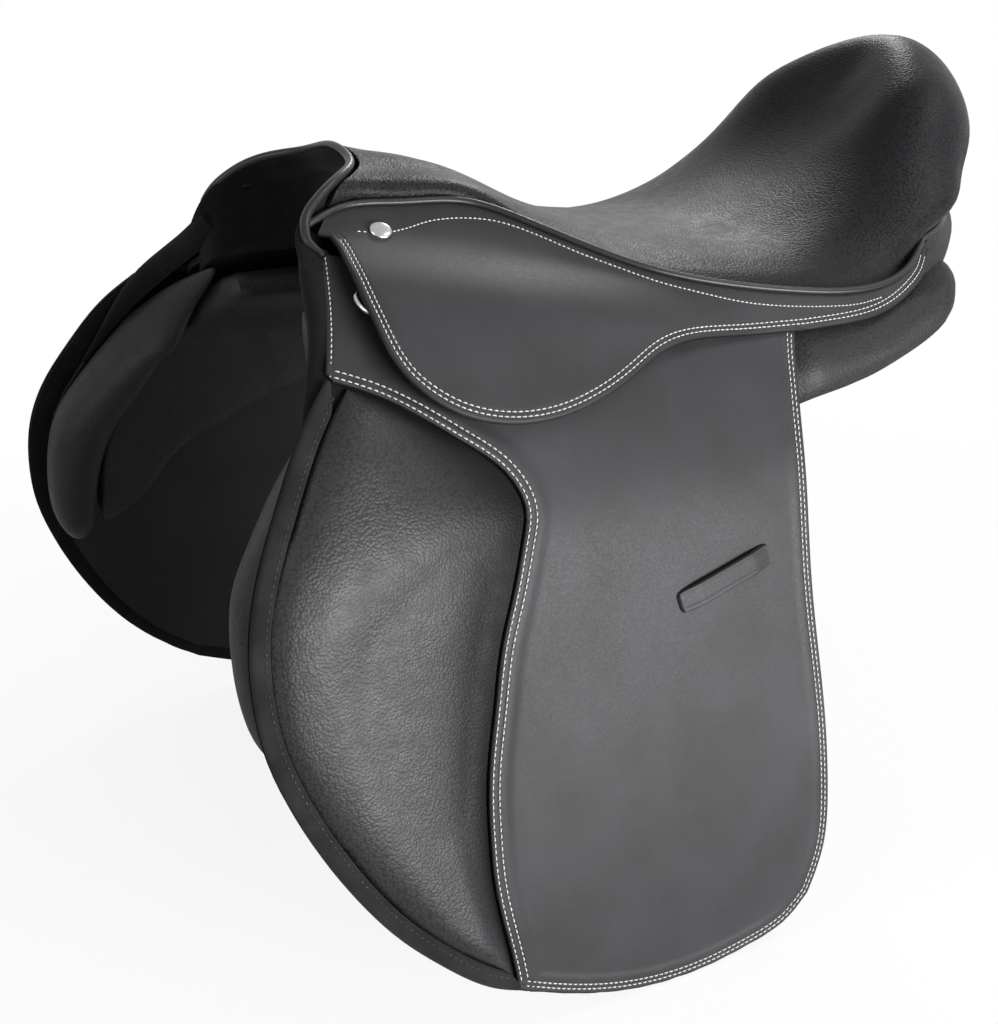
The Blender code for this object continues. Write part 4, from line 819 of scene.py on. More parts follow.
def eased(thing, rounds):
    # ease the crease where both halves of the seat meet on the cantle
    bm = bmesh.new()
    bm.from_mesh(thing.data)
    half = seatValues["creaseHalf"]
    near = [v for v in bm.verts if v.co.x > seatValues["creaseX"] and abs(v.co.y) < half
            and v.co.z > seatValues["creaseZ"]]
    closest = [v for v in near if abs(v.co.y) < half / 2]
    for group in [near] * rounds + [closest] * rounds:
        bmesh.ops.smooth_vert(bm, verts=group, factor=0.5, use_axis_x=True, use_axis_y=True, use_axis_z=True)
    bm.to_mesh(thing.data)
    bm.free()


def seatNormals(surface):
    # on the spine and down the cantle's middle they have no sideways part
    over = np.gradient(surface, axis=1)
    down = np.gradient(surface, axis=0)
    normal = np.cross(down, over)
    for line in (normal[:, 0], normal[-1]):
        line[:, 1] = 0.0
    normal[-1] = np.stack([-np.gradient(surface[-1, :, 2]), np.zeros(surface.shape[1]),
                           np.gradient(surface[-1, :, 0])], 1)
    return normal / np.linalg.norm(normal, axis=2)[:, :, None]


def bothHalves(grid):
    # the far half with its mirror image, from welt to welt
    return np.concatenate([(grid * (1, -1, 1))[:, :0:-1], grid], 1)


def makeSeat():
    surface = seatSurface(seatValues["rows"], seatValues["cols"])
    normal = seatNormals(surface)
    share = np.linspace(0, 1, seatValues["cols"])
    # the leather is pulled down hard into the welt and fills out just above it
    tuck = seatValues["tuckDepth"] * ease(share, 1 - seatValues["tuckWidth"] * 0.5, 1.0)
    swell = seatValues["swell"] * np.exp(-((share - seatValues["swellAt"]) / seatValues["swellWide"]) ** 2)
    top = surface + normal * (swell - tuck)[None, :, None]
    low = surface - normal * coverThick
    seat = shell("seatLeather", bothHalves(top), bothHalves(low), seatHide, "saddle", ("seat_cover",),
                 folded=True)
    eased(seat, 2)
    # the foam starts behind the head and thins out towards the welt
    surface, normal = surface[seatValues["foamFrom"]:], normal[seatValues["foamFrom"]:]
    thin = 1 - seatValues["foamThin"] * np.maximum(0, (share - 0.55) / 0.45) ** 1.5
    deep = (seatValues["foamDown"] + seatFoam * thin)[None, :, None]
    foamTop, foamLow = (bothHalves(grid[:, :-seatValues["foamIn"]])[::2, ::2]
                        for grid in (surface - normal * seatValues["foamDown"], surface - normal * deep))
    foam = shell("seatFoam", foamTop, foamLow, foamFelt, "saddle", ("seat_foam",))


makeSeat()


# Piping
pipingValues = {"radius": 0.0021, "out": 0.0048, "rimRadius": 0.0025, "rimBack": 0.0028, "tuckFrom": 0.9,
                "tuckBack": 0.0055, "tuckThin": 0.45}


def makePiping():
    line = curve(weltLine, 90)
    welt = onSide(line[:, 0], line[:, 1] + 0.0001, pipingValues["out"], 1)
    welt = np.concatenate([onSide(*mm(-226.5, -8.5, 3), 1)[None], welt])
    behind = [tuple(np.asarray(p) + mm(0.8, 0, -3.6)) for p in weltRear]
    rear = curve([tuple(welt[-1])] + behind, 40)[1:]
    whole = curve(mirrored(np.concatenate([welt, rear])[::-1]), 420)
    cord = cordMesh("seatWelt", whole, pipingValues["radius"], pipingHide, "saddle", ("seat_welt",))
    # the rim's piping grows thin and turns back under the skirts at its ends
    rim = curve(mirrored(headRim), 220) + (-pipingValues["rimBack"], 0, 0.0002)
    tuck = ease(np.abs(np.linspace(-1, 1, 220)), pipingValues["tuckFrom"], 1.0)
    rim[:, 0] += pipingValues["tuckBack"] * tuck
    radius = pipingValues["rimRadius"] * (1 - pipingValues["tuckThin"] * tuck)
    roll = cordMesh("pommelPiping", rim, radius, pipingHide, "saddle", ("pommel_piping",), 18)


makePiping()


# Skirts
skirtValues = {"rowOne": 0.0032, "rowTwo": 0.0056, "grooveDeep": 0.00035, "grooveWide": 0.0006,
               "bevel": 0.0015, "burnish": 0.0016, "underWelt": 0.0014, "topPitch": 0.0026,
               "topLength": 0.0019, "topGroove": 0.0003, "riseAbove": 0.02, "riseOver": 0.056,
               "riseLean": 0.93, "riseEnds": 0.07}
skirtEdge = joined(skirtCorner, skirtFront, skirtLobe, skirtRear)


def skirtRise(x, s):
    # the leather starts to lift a little above the fold, over the bar
    below = (np.asarray(s) - hingeS(x)) * skirtValues["riseLean"]
    up = np.clip((below + skirtValues["riseAbove"]) / skirtValues["riseOver"], 0, 1)
    rear = np.clip(-np.asarray(x) / skirtValues["riseEnds"], 0, 1)
    return skirtRiseSize * (up * up * (3 - 2 * up)) * (rear * rear * (3 - 2 * rear))


def rounding(d, radius):
    # how far a rounded edge has dropped at a distance from it
    t = np.clip(d / radius, 0, 1)
    return radius * (1 - np.sqrt(1 - (1 - t) ** 2))


def rowGrooves(d, rows, deep, wide):
    # the thread pulls the leather in along each row
    return sum(-deep * np.exp(-((d - row) / wide) ** 2) for row in rows)


def skirtHeights(plan, edgeLine):
    d = away(plan, edgeLine)
    rise = skirtRise(plan[..., 0], plan[..., 1])
    top = gap + skirtThick + rise - rounding(d, skirtValues["bevel"])
    top = top + rowGrooves(d, (skirtValues["rowOne"], skirtValues["rowTwo"]), skirtValues["grooveDeep"],
                           skirtValues["grooveWide"])
    low = gap + rise + rounding(d, skirtThick - skirtValues["bevel"])
    return top, low, np.clip(1 - d / skirtValues["burnish"], 0, 1)


def topOfSkirt(x, s):
    return gap + skirtThick + skirtRise(x, s) - 0.0002


def makeSkirts():
    # the lobe lies below the fold and the root above it; both are finest beside the free edge
    colShares = graded(0.29, 0.0055, start=True)
    rowShares = graded(0.095, 0.0045, end=True)
    rowShares = np.unique(np.concatenate([rowShares, np.linspace(0, 0.12, 8)]))
    hingeEnds = np.array([skirtCorner[-1], splitRear])
    top = onRun(hingeEnds, colShares)
    right = onRun(np.array([splitRear, (splitRear[0], splitRear[1] + 0.0002)]), rowShares)
    lobe = onRun(np.concatenate([curve(skirtLobe)[:-1], right[-1:]]), colShares)
    lobePlan = patch(top, lobe, onRun(curve(skirtFront), rowShares), right, rowShares, colShares)
    high, low, edge = skirtHeights(lobePlan, skirtEdge)

    welt = curve(weltLine)
    welt[:, 1] += skirtValues["underWelt"]
    fold = onRun(hingeEnds, np.linspace(0, 1, 300))
    lower = np.concatenate([curve(skirtCorner), fold[1:], curve(skirtRear)[1:]])
    rootCols = graded(0.4, 0.0045, end=True, start=True)
    rootRows = graded(0.04, 0.003, end=True, fine=0.001, band=0.011)
    left = onRun(np.array([welt[0], lower[0]]), rootRows)
    right = onRun(np.array([welt[-1], lower[-1]]), rootRows)
    rootPlan = patch(onRun(welt, rootCols), onRun(lower, rootCols), left, right, rootRows, rootCols)
    rootHigh, rootLow, rootEdge = skirtHeights(rootPlan, skirtEdge)
    topRow = curve(skirtTopRow)
    rootHigh = rootHigh + rowGrooves(away(rootPlan, topRow), (0.0,), skirtValues["topGroove"],
                                     skirtValues["grooveWide"])

    dense = onRun(skirtEdge, np.linspace(0, 1, 1500))
    for name, side in sides:
        root = leather("skirtRoot_" + name, rootPlan, rootHigh, rootLow, side, calf, "saddle",
                       ("skirt_root_" + name,), rootEdge)
        lobe = leather("skirtLobe_" + name, lobePlan, high, low, side, calf, "skirt_" + name,
                       ("skirt_" + name,), edge)
        # two rows follow the edge, and change body where the lobe folds away from the root
        for number, offset in (("outer", skirtValues["rowOne"]), ("inner", skirtValues["rowTwo"])):
            row = inset(dense, -offset)[30:-20]
            onLobe = (row[:, 1] > splitS(row[:, 0])) & (row[:, 0] < splitRear[0])
            first = int(np.argmax(onLobe))
            last = len(row) - int(np.argmax(onLobe[::-1]))
            for part, line, body in (("front", row[:first], "saddle"),
                                     ("lobe", row[first:last], "skirt_" + name),
                                     ("rear", row[last:], "saddle")):
                if len(line) > 8:
                    sewOnSide("skirtRow_%s_%s_%s" % (number, part, name), line, topOfSkirt, side, body)
        # the row under the seat, and its short end ahead of the nail
        for part, line in (("skirtTopRow_", topRow), ("skirtStub_", mm((-203.5, 0.8), (-197.5, 2)))):
            sewOnSide(part + name, line, topOfSkirt, side, "saddle", pitch=skirtValues["topPitch"],
                      length=skirtValues["topLength"])


makeSkirts()
print("saddle: seat and skirts done")


# Flaps
flapValues = {"rowOne": 0.0029, "rowTwo": 0.0053, "crease": 0.01, "band": 0.0005, "seamRowOne": 0.0014,
              "seamRowTwo": 0.005, "seamLip": 0.012, "lipHeight": 0.0011, "frontRow": 0.002,
              "frontPitch": 0.0036, "grooveDeep": 0.0003, "grooveWide": 0.0006, "seamGrooveDeep": 0.0004,
              "seamGrooveWide": 0.0007, "bevel": 0.0011, "underBevel": 0.0007, "backBevel": 0.0009,
              "burnish": 0.0014, "creaseSoft": (-0.002, 0.0016), "lipSoft": (-0.0045, 0.0025),
              "rowHeight": 0.0003, "seamHeight": 0.0009, "slotRound": 0.006, "slotCut": 0.012}
slotCorners = mm((31, 13), (142, 13), (142, 55), (31, 55))     # for the stirrup leather, behind the bar


def flapPlans():
    # the face runs from the pad's seam back to the free edge, the lining over the whole flap
    seamLine = np.concatenate([curve(flapFrontTop), curve(padSeam)[1:]])
    frontLine = np.concatenate([curve(flapFrontTop), curve(flapFront)[1:]])
    rearLine = curve(flapRear)
    foot = curve((padSeam[-1],) + flapBottom[1:])
    rowShares = graded(0.4, 0.006, end=True)
    colShares = graded(0.24, 0.006, start=True, end=True)
    top = onRun(np.array([seamLine[0], rearLine[0]]), colShares)
    face = patch(top, onRun(foot, colShares), onRun(seamLine, rowShares), onRun(rearLine, rowShares),
                 rowShares, colShares)
    backRows = np.linspace(0, 1, 60)
    backCols = graded(0.31, 0.008, start=True, end=True, fine=0.002, band=0.004)
    topBack = onRun(np.array([frontLine[0], rearLine[0]]), backCols)
    back = patch(topBack, onRun(curve(flapBottom), backCols), onRun(frontLine, backRows),
                 onRun(rearLine, backRows), backRows, backCols)
    freeEdge = np.concatenate([rearLine, foot[::-1][1:]])
    return face, back, frontLine, freeEdge


def rounded(outline, radius, steps=5):
    # the outline with its corners cut to curves
    result = []
    count = len(outline)
    for i in range(count):
        before, here, after = (np.asarray(outline[k % count], float) for k in (i - 1, i, i + 1))
        first = here + (before - here) / np.linalg.norm(before - here) * radius
        last = here + (after - here) / np.linalg.norm(after - here) * radius
        for t in np.linspace(0, 1, steps):
            result.append(tuple(first * (1 - t) ** 2 + here * 2 * t * (1 - t) + last * t ** 2))
    return result


def slotPlace(side):
    # the slot lies in the flap's plane, measured from the hinge
    _, run, down, _ = hingeFrame(side)
    matrix = Matrix((run, down, np.cross(run, down))).transposed().to_4x4()
    matrix.translation = Vector(atHinge(side, 0, 0, -0.001))
    return matrix


def makeFlaps():
    face, back, frontLine, freeEdge = flapPlans()
    size = flapValues
    dFree = away(face, freeEdge)
    dSeam = away(face, curve(padSeam))
    dTop = away(face, curve(flapFrontTop))
    deep, wide = size["grooveDeep"], size["grooveWide"]
    grooves = rowGrooves(dFree, (size["rowOne"], size["rowTwo"]), deep, wide)
    seamGrooves = rowGrooves(dSeam, (size["seamRowOne"], size["seamRowTwo"]), size["seamGrooveDeep"],
                             size["seamGrooveWide"])
    frontGroove = rowGrooves(dTop, (size["frontRow"],), deep, wide)
    # a flat band stands up along the free edge, and a lip beside the pad's seam
    band = size["band"] * (1 - ease(dFree, *(size["crease"] + d for d in size["creaseSoft"])))
    lip = size["lipHeight"] * (1 - ease(dSeam, *(size["seamLip"] + d for d in size["lipSoft"])))
    worked = np.minimum(dFree, np.minimum(dSeam, dTop))
    top = grooves + seamGrooves + frontGroove + np.maximum(band, lip) - rounding(worked, size["bevel"])
    low = np.full(face.shape[:2], -faceThick) + rounding(worked, size["underBevel"])
    edge = np.clip(1 - dFree / size["burnish"], 0, 1)
    backEdge = np.minimum(away(back, freeEdge), away(back, frontLine))
    backTop = -(faceThick + leafGap) - rounding(backEdge, size["backBevel"])
    backLow = flapInner + rounding(backEdge, size["backBevel"])
    slot = rounded(slotCorners, size["slotRound"])
    free = onRun(freeEdge, np.linspace(0, 1, 1500))
    seam = onRun(curve(padSeam), np.linspace(0, 1, 1000))
    for name, side in sides:
        body = "flap_" + name
        front = leather("flapFace_" + name, face, top, low, side, calf, body, ("flap_face_" + name,), edge)
        lining = leather("flapLining_" + name, back, backTop, backLow, side, suede, body,
                         ("flap_backing_" + name,))
        for piece in (front, lining):
            cutBy(piece, slot, slotPlace(side), size["slotCut"])
        for number, which in (("outer", "rowOne"), ("inner", "rowTwo")):
            row = inset(free, size[which])[10:-6]
            sewOnSide("flapRow_%s_%s" % (number, name), row, size["rowHeight"], side, body)
        for number, which in (("outer", "seamRowOne"), ("inner", "seamRowTwo")):
            row = inset(seam, -size[which])[8:-14]
            sewOnSide("seamRow_%s_%s" % (number, name), row, size["seamHeight"], side, body)
        row = inset(curve(flapFrontTop), -size["frontRow"])[10:-4]
        sewOnSide("frontRow_" + name, row, 0.0, side, body, pitch=size["frontPitch"])


makeFlaps()
print("saddle: flaps done")


# Knee pads, bindings and keepers
# the painted shade beside the pad's seam starts at a share of the pad's width from its front
padValues = {"crown": 0.0095, "fullness": 0.8, "lean": 0.74, "pressure": 2.5, "cap": 0.003, "rows": 76,
             "cols": 30, "topTaper": 0.16, "footTaper": 0.1, "foldShadeFrom": 0.62, "under": 0.001}
bindingValues = {"width": 0.0095, "rowIn": 0.0068, "rowHeight": 0.0008, "pitch": 0.0038, "rows": 150}
# across the binding, from the cut edge inwards: share of its width, and height over the flap in mm
bindingForm = ((0, -1.4), (0.02, -0.4), (0.08, 0.3), (0.2, 0.8), (0.4, 1.1), (0.6, 1.1), (0.8, 0.8),
               (0.93, 0.5), (0.98, -0.1), (1, -0.7))


def makePads():
    rows, cols = padValues["rows"], padValues["cols"]
    front = inset(curve(flapFront, np.linspace(0.02, 0.975, rows)), -(bindingValues["width"] + 0.0004))
    seam = inset(curve(padSeam, np.linspace(0.03, 0.985, rows)), 0.0012)
    front[0] = seam[0] + (-0.0012, 0.0012)
    share = np.linspace(0, 1, cols)
    plan = front[:, None] * (1 - share[None, :, None]) + seam[:, None] * share[None, :, None]
    # fullest behind its middle, and tapered at the top and the foot
    t = np.linspace(0, 1, rows)
    ends = np.minimum(1.0, np.minimum(t / padValues["topTaper"], (1 - t) / padValues["footTaper"]))
    ends = np.sin(ends * math.pi / 2) ** 0.7
    crown = np.maximum(0, np.sin(math.pi * share[None] ** padValues["lean"])) ** padValues["fullness"]
    high = -padValues["under"] + padValues["crown"] * (crown * ends[:, None])
    outer = onSide(plan[..., 0], plan[..., 1], high, -1).reshape(-1, 3)
    inner = onSide(plan[..., 0], plan[..., 1], -faceThick - 0.0001, -1).reshape(-1, 3)
    faces = shellFaces(rows, cols)
    points = np.concatenate([outer, inner])
    held = [i * cols + j for i in range(rows) for j in range(cols)
            if i in (0, rows - 1) or j in (0, cols - 1)]
    held += list(range(rows * cols, 2 * rows * cols))
    points = stuff(points, faces, held, padValues["pressure"], padValues["cap"], (rows, cols))
    # painted shade: the strip beside the seam is marked to be drawn darker and with less sheen
    fold = np.tile(ease(share, padValues["foldShadeFrom"], 1.0), 2 * rows)
    for name, side in sides:
        pad = makeMesh("kneePad_" + name, points * (1, -side, 1), faces, pebble, "flap_" + name,
                       ("knee_pad_" + name,), fold)


def makeBindings():
    rows = bindingValues["rows"]
    edge = curve(flapFront + mm((-199.2, 403.6)), np.linspace(0.002, 1.0, rows))
    share = np.linspace(0, 1, rows)
    # it starts narrow under the head and runs out at the pad's seam
    narrow = (0.1 + 0.9 * ease(share, -0.02, 0.045)) * (1 - 0.55 * ease(share, 0.975, 1.0))
    inner = edge + (inset(edge, -bindingValues["width"]) - edge) * narrow[:, None]
    marks, crown = np.array(bindingForm).T
    plan = edge[:, None] * (1 - marks[None, :, None]) + inner[:, None] * marks[None, :, None]
    high = np.broadcast_to(crown / 1000, plan.shape[:2])
    low = np.full(plan.shape[:2], -faceThick + 0.0001)
    for name, side in sides:
        strip = leather("flapBinding_" + name, plan, high, low, side, bindingHide, "flap_" + name,
                        ("flap_binding_" + name,))
        row = inset(onRun(edge, np.linspace(0, 1, 900)), -bindingValues["rowIn"])[14:-8]
        sewOnSide("bindingRow_" + name, row, bindingValues["rowHeight"], side, "flap_" + name,
                  look=darkThread, pitch=bindingValues["pitch"])


keeperValues = {"start": (-0.088, 0.2282), "end": (-0.0284, 0.2122), "half": 0.0063, "thick": 0.0016,
                "rise": 0.002, "riseOver": 0.014, "bevel": 0.0013, "creaseIn": 0.0024, "creaseDeep": 0.00035,
                "burnish": 0.0012}


def makeKeepers():
    start, end = (np.asarray(keeperValues[k]) for k in ("start", "end"))
    run = (end - start) / np.linalg.norm(end - start)
    across = np.array([-run[1], run[0]])
    length = np.linalg.norm(end - start)
    size = keeperValues
    t, w = np.meshgrid(np.linspace(-1, 1, 61), np.linspace(-1, 1, 19), indexing="ij")
    # corners drawn in a little so the strap's ends are rounded
    reach = 1 - 0.035 * np.abs(w) ** 4
    narrow = 1 - 0.16 * np.abs(t) ** 18
    plan = ((start + end) / 2 + run * (t * reach * length / 2)[..., None]
            + across * (w * narrow * size["half"])[..., None])
    dEnd = (1 - np.abs(t)) * length / 2
    dSide = (1 - np.abs(w)) * size["half"]
    d = np.minimum(dEnd, dSide)
    # sewn down at both ends and free between them
    lift = size["thick"] + size["rise"] * ease(dEnd, 0.0, size["riseOver"])
    crease = size["creaseDeep"] * np.exp(-((d - size["creaseIn"]) / 0.0005) ** 2)
    high = gap + lift - rounding(d, size["bevel"]) - crease
    low = gap + lift - size["thick"] + rounding(d, 0.0003)
    edge = np.clip(1 - d / size["burnish"], 0, 1)
    for name, side in sides:
        strap = leather("leatherKeeper_" + name, plan, high, low, side, calf, "flap_" + name,
                        ("leather_keeper_" + name,), edge)


makePads()
makeBindings()
makeKeepers()
print("saddle: pads, bindings and keepers done")


# Panels
# how much of its height the panel's top keeps above a level, from front to rear, and how deep it is
underX = (-0.24, -0.2, -0.15, -0.1, -0.05, 0.0, 0.05, 0.1, 0.15)
underFlat = (1.0, 0.95, 0.8, 0.52, 0.34, 0.25, 0.25, 0.3, 0.34)
underBreak = 0.064
panelDepthX = mm(-249, -243, -220, -100, 30, 100, 152)
panelDepth = mm(20, 30, 32, 36, 35, 30, 26)
panelValues = {"rings": 96, "around": 44, "square": 0.55, "pressure": 3.0, "cap": 0.0025}
rollValues = {"rings": 60, "around": 28, "square": 0.8, "deep": 0.042, "topShare": 0.35}


def panelOffset(x, s):
    # how far the panel's outer face lies under the side face, to clear what is between them
    arch = 0.0285 - 0.0075 * ease(s, 0.015, 0.075)              # beside the head's plates
    point = arch - 0.008 * ease(s, 0.06, 0.13)                  # below the tree's points
    middle = 0.0205 - 0.0075 * ease(s, 0.06, 0.085)             # under the bar and the tree's side
    front = point + (middle - point) * ease(x, -0.165, -0.11)
    return front + (0.0032 - front) * ease(x, 0.012, 0.034) + 0.001 * ease(x, 0.08, 0.11)


def panelPoint(x, s, depth, side):
    # the panel goes in square to the side face in front and straight down at the rear
    least = np.where((s > 0.11) & (x < 0.01), -panelOuter, 0.0)
    outer = onSide(x, s, -np.maximum(panelOffset(x, s), least), side)
    inner = onSide(x, s, -0.05, side) - onSide(x, s, 0.0, side)
    inner /= np.linalg.norm(inner, axis=-1)[..., None]
    flat = np.interp(x, underX, underFlat)
    z = outer[..., 2]
    outer[..., 2] = np.where(z > underBreak, underBreak + (z - underBreak) * flat, z)
    outer[..., 2] += 0.014 * ease(x, 0.064, 0.155)      # the rear end rises under the cantle
    turn = ease(x, -0.16, -0.03)[..., None]
    way = inner * (1 - turn) + np.array([0.0, 0.0, -1.0]) * turn
    way /= np.linalg.norm(way, axis=-1)[..., None]
    return outer + way * depth[..., None]


def cushion(upper, lower, depths, square, around):
    # a stuffed roll between two seams, closed and rounded at its ends
    total = len(upper)
    i = np.arange(total)
    reach = 2.2 * (total - 1) / 23                  # the rings over which an end closes
    ends = np.minimum(np.minimum((i + 0.35) / reach, (total - 1 - i + 0.35) / reach), 1.0)
    shrink = np.sqrt(1 - (1 - ends) ** 2)[:, None]
    t = 2 * math.pi * np.arange(around) / around
    over, down = (np.copysign(np.abs(wave) ** square, wave)[None] * shrink for wave in (np.cos(t), np.sin(t)))
    middle = (upper + lower) / 2
    spot = middle[:, None] + ((lower - upper) / 2)[:, None] * over[..., None]
    depth = depths[:, None] * (1 - down) / 2
    rings = panelPoint(spot[..., 0], spot[..., 1], depth, -1)
    points = rings.reshape(-1, 3)
    faces = gridFaces(total, around, loop=True)
    for first, ring in ((0, rings[0]), ((total - 1) * around, rings[-1])):
        points = np.concatenate([points, ring.mean(0)[None]])
        for j in range(around):
            faces.append((first + j, first + (j + 1) % around, len(points) - 1))
    return points, faces


def makePanels():
    rings, around = panelValues["rings"], panelValues["around"]
    split = int(rings * 9 / 23)                     # the rings of the part that hangs down in front
    upper = np.concatenate([curve(railSeam, split), curve(railGullet, rings - split)])
    lower = np.concatenate([curve(railLowFront, split)[:-1], curve(railLow, rings - split + 1)])
    place = np.concatenate([np.linspace(-0.249, -0.2405, split), upper[split:, 0]])
    depths = np.interp(place, panelDepthX, panelDepth)
    points, faces = cushion(upper, lower, depths, panelValues["square"], around)
    held = [i * around + j for i in range(rings) for j in (0, around // 2)]
    held += list(range(around)) + list(range((rings - 1) * around, len(points)))
    points = stuff(points, faces, held, panelValues["pressure"], panelValues["cap"], (rings, around), 10)
    # the knee roll is slim under the head and fullest at its middle
    count = rollValues["rings"]
    swell = rollValues["deep"] * (0.45 + 0.55 * np.sin(math.pi * np.linspace(0.05, 0.9, count)) ** 0.7)
    slim = rollValues["topShare"]
    swell = swell * (slim + (1 - slim) * ease(np.linspace(0, 1, count), 0.0, 0.35))
    rollPoints, rollFaces = cushion(curve(rollFront, count), curve(rollSeam, count), swell,
                                    rollValues["square"], rollValues["around"])
    for name, side in sides:
        panel = makeMesh("panel_" + name + "_form", points * (1, -side, 1), faces, panelHide, "saddle",
                         ("panel_" + name,))
        roll = makeMesh("kneeRoll_" + name, rollPoints * (1, -side, 1), rollFaces, panelHide, "saddle",
                        ("knee_roll_" + name,))


makePanels()
print("saddle: panels done")


# Rear facing and head
rearValues = {"swell": 0.007, "up": 0.002, "deep": 0.031, "thick": 0.0014}


def makeRear():
    # the strip's ends start under the skirts
    ends = mm((118, 71, -2.6), (130, 63, -1), (141, 54.5, 2))
    line = [tuple(onSide(x, s, n, 1)) for x, s, n in ends]
    line += [tuple(np.asarray(p) + mm(0.6, 0, -6.6)) for p in weltRear]
    top = mirrored(curve(line[::-1], 60))
    bands = []
    for down in np.linspace(0, 1, 11):
        bulge = math.sin(math.pi * down)
        x = top[:, 0] + rearValues["swell"] * bulge * (1 - np.abs(top[:, 1]) / 0.2)
        z = top[:, 2] + rearValues["up"] - rearValues["deep"] * down
        bands.append(np.stack([x, top[:, 1] * (1 + 0.035 * bulge), z], 1))
    outer = np.stack(bands, 1)
    inner = outer * (1, 0.985, 1) - (rearValues["thick"], 0, 0)
    strip = shell("rearFacing", outer, inner, panelHide, "saddle", ("rear_facing",))


headValues = {"roll": 0.005, "rollWide": 0.012, "back": 0.0036, "thick": 0.003, "liningDepth": 0.06,
              "liningThick": 0.0016, "liningFrom": 0.001, "plateThick": 0.004, "liningHalf": 0.09,
              "panelProud": 0.001, "rimHalf": 0.08, "channelDrop": 0.024, "channelHalf": 0.065,
              "inPiping": 0.0006, "rollShort": 0.0026}
archFoot = mm((98.5, 74), (106, 60), (112, 44))
# the soft edge that goes on down the front of each panel, as x, s and height, and its radius
frontEdgeLine = mm((-225.5, 5, -6), (-230, 20, -7.5), (-236.5, 45, -8), (-246, 72, -8.5), (-257, 96, -10),
                   (-269, 120, -12), (-283, 148, -13))
frontEdgeValues = {"radius": 0.008, "thin": 0.8, "thinFrom": 0.45, "squeeze": 0.9}


def archX(y):
    line = curve(headRim, 61)
    return np.interp(abs(y), line[:, 1], line[:, 0])


def archBand(low, startX, width, cols):
    # a band under the head, moved down along its own normal, right down to the panels;
    # over the channel it sinks towards the rear
    half = [(0.0, y, z) for y, z in archLine + archFoot]
    path = curve(mirrored(half), 141)
    way = np.gradient(path, axis=0)
    way /= np.linalg.norm(way, axis=1)[:, None]
    path = path - low * np.stack([np.zeros(len(path)), -way[:, 2], way[:, 1]], 1)
    x = np.array([archX(min(abs(y), headValues["rimHalf"])) for y in path[:, 1]])
    drop = headValues["channelDrop"] * np.maximum(0, 1 - (path[:, 1] / headValues["channelHalf"]) ** 2)
    t = np.linspace(0, 1, cols)
    return np.stack([np.stack([x + startX + width * k, path[:, 1], path[:, 2] - drop * k], 1) for k in t], 1)


def makeArch():
    low = headValues["plateThick"] + 2 * gap
    bands = [archBand(low + d, headValues["liningFrom"], headValues["liningDepth"], 12)
             for d in (headValues["liningThick"], 0.0)]
    # suede in the arch, then panel leather on each side down to the panels
    inside = np.abs(bands[0][:, 0, 1]) < headValues["liningHalf"]
    first = int(np.argmax(inside))
    last = len(inside) - first
    proud = headValues["panelProud"]
    parts = (("archLining", slice(first, last), suede, "dark_lining", ("arch_lining",), 0.0),
             ("panelTop_left", slice(0, first + 1), panelHide, "grained_leather", (), proud),
             ("panelTop_right", slice(last - 1, None), panelHide, "grained_leather", (), proud))
    for name, part, look, slotName, replaced, out in parts:
        under, over = (band[part].copy() for band in bands)
        under[..., 1] -= np.sign(under[..., 1]) * out
        thing = shell(name, under, over, look, "saddle", replaced)
    # facing from the piping to the lining: a stuffed roll, a groove, then flat
    outer = curve(mirrored(headRim), 161)
    inner = curve(bands[0][inside][:, 0], 161)
    t = np.concatenate([np.linspace(0, 0.6, 19), np.linspace(0.6, 1, 7)[1:]])
    span = inner - outer
    length = np.linalg.norm(span, axis=1)
    pull = span / length[:, None]
    start = outer + pull * headValues["inPiping"]
    grid = start[:, None] + (inner - start)[:, None] * t[None, :, None]
    along = t[None] * (length[:, None] - headValues["rollShort"])
    wide = np.minimum(headValues["rollWide"], length * 0.75)[:, None]
    swell = headValues["roll"] * np.sqrt(np.maximum(0, np.sin(math.pi * np.clip(along / wide, 0, 1))))
    grid[..., 0] -= headValues["back"] + swell
    facing = shell("headFacing", grid, grid + (headValues["thick"], 0, 0), suede, "saddle", ("head_facing",))
    dense = curve(frontEdgeLine, 80)
    thin = frontEdgeValues["thin"] * ease(np.linspace(0, 1, 80), frontEdgeValues["thinFrom"], 1.0)
    radius = frontEdgeValues["radius"] * (1 - thin)
    for name, side in sides:
        edge = onSide(dense[:, 0], dense[:, 1], dense[:, 2], side)
        cord = cordMesh("frontEdge_" + name, edge, radius, suede, "saddle", sidesRound=20,
                        squeeze=frontEdgeValues["squeeze"])


# Nails and rings
# the nail's head as radius and height, from its middle out and down to its foot
nailForm = mm((0.1, 2.7), (1.4, 2.68), (2.8, 2.6), (4.2, 2.4), (5.2, 2.05), (5.8, 1.6), (6.1, 1), (6, 0.3),
              (5.7, 0), (0.1, 0))
nailValues = {"x": -0.1905, "s": 0.002}
# a ring with one straight side, and where that side's middle lies from the front of the hinge
ringValues = {"wire": 0.0014, "straight": 0.0085, "wide": 0.01, "tall": 0.0125, "shoulder": 0.003,
              "along": 0.019, "down": 0.0365, "lean": -6}


def turnedPiece(name, profile, place, look, body, replaced, steps=40):
    turn = np.linspace(0, 2 * math.pi, steps, endpoint=False)
    rings = [np.stack([radius * np.cos(turn), radius * np.sin(turn), np.full(steps, height)], 1)
             for radius, height in profile]
    points = np.asarray(rings).reshape(-1, 3)
    points = np.array([tuple(place @ Vector(p)) for p in points])
    faces = gridFaces(len(profile), steps, loop=True)
    faces.append(tuple(range(steps)))
    faces.append(tuple(range(len(points) - 1, len(points) - steps - 1, -1)))
    return makeMesh(name, points, faces, look, body, replaced)


def frameOf(origin, first, third):
    third = Vector(third).normalized()
    second = third.cross(Vector(first)).normalized()
    first = second.cross(third)
    matrix = Matrix((first, second, third)).transposed().to_4x4()
    matrix.translation = Vector(origin)
    return matrix


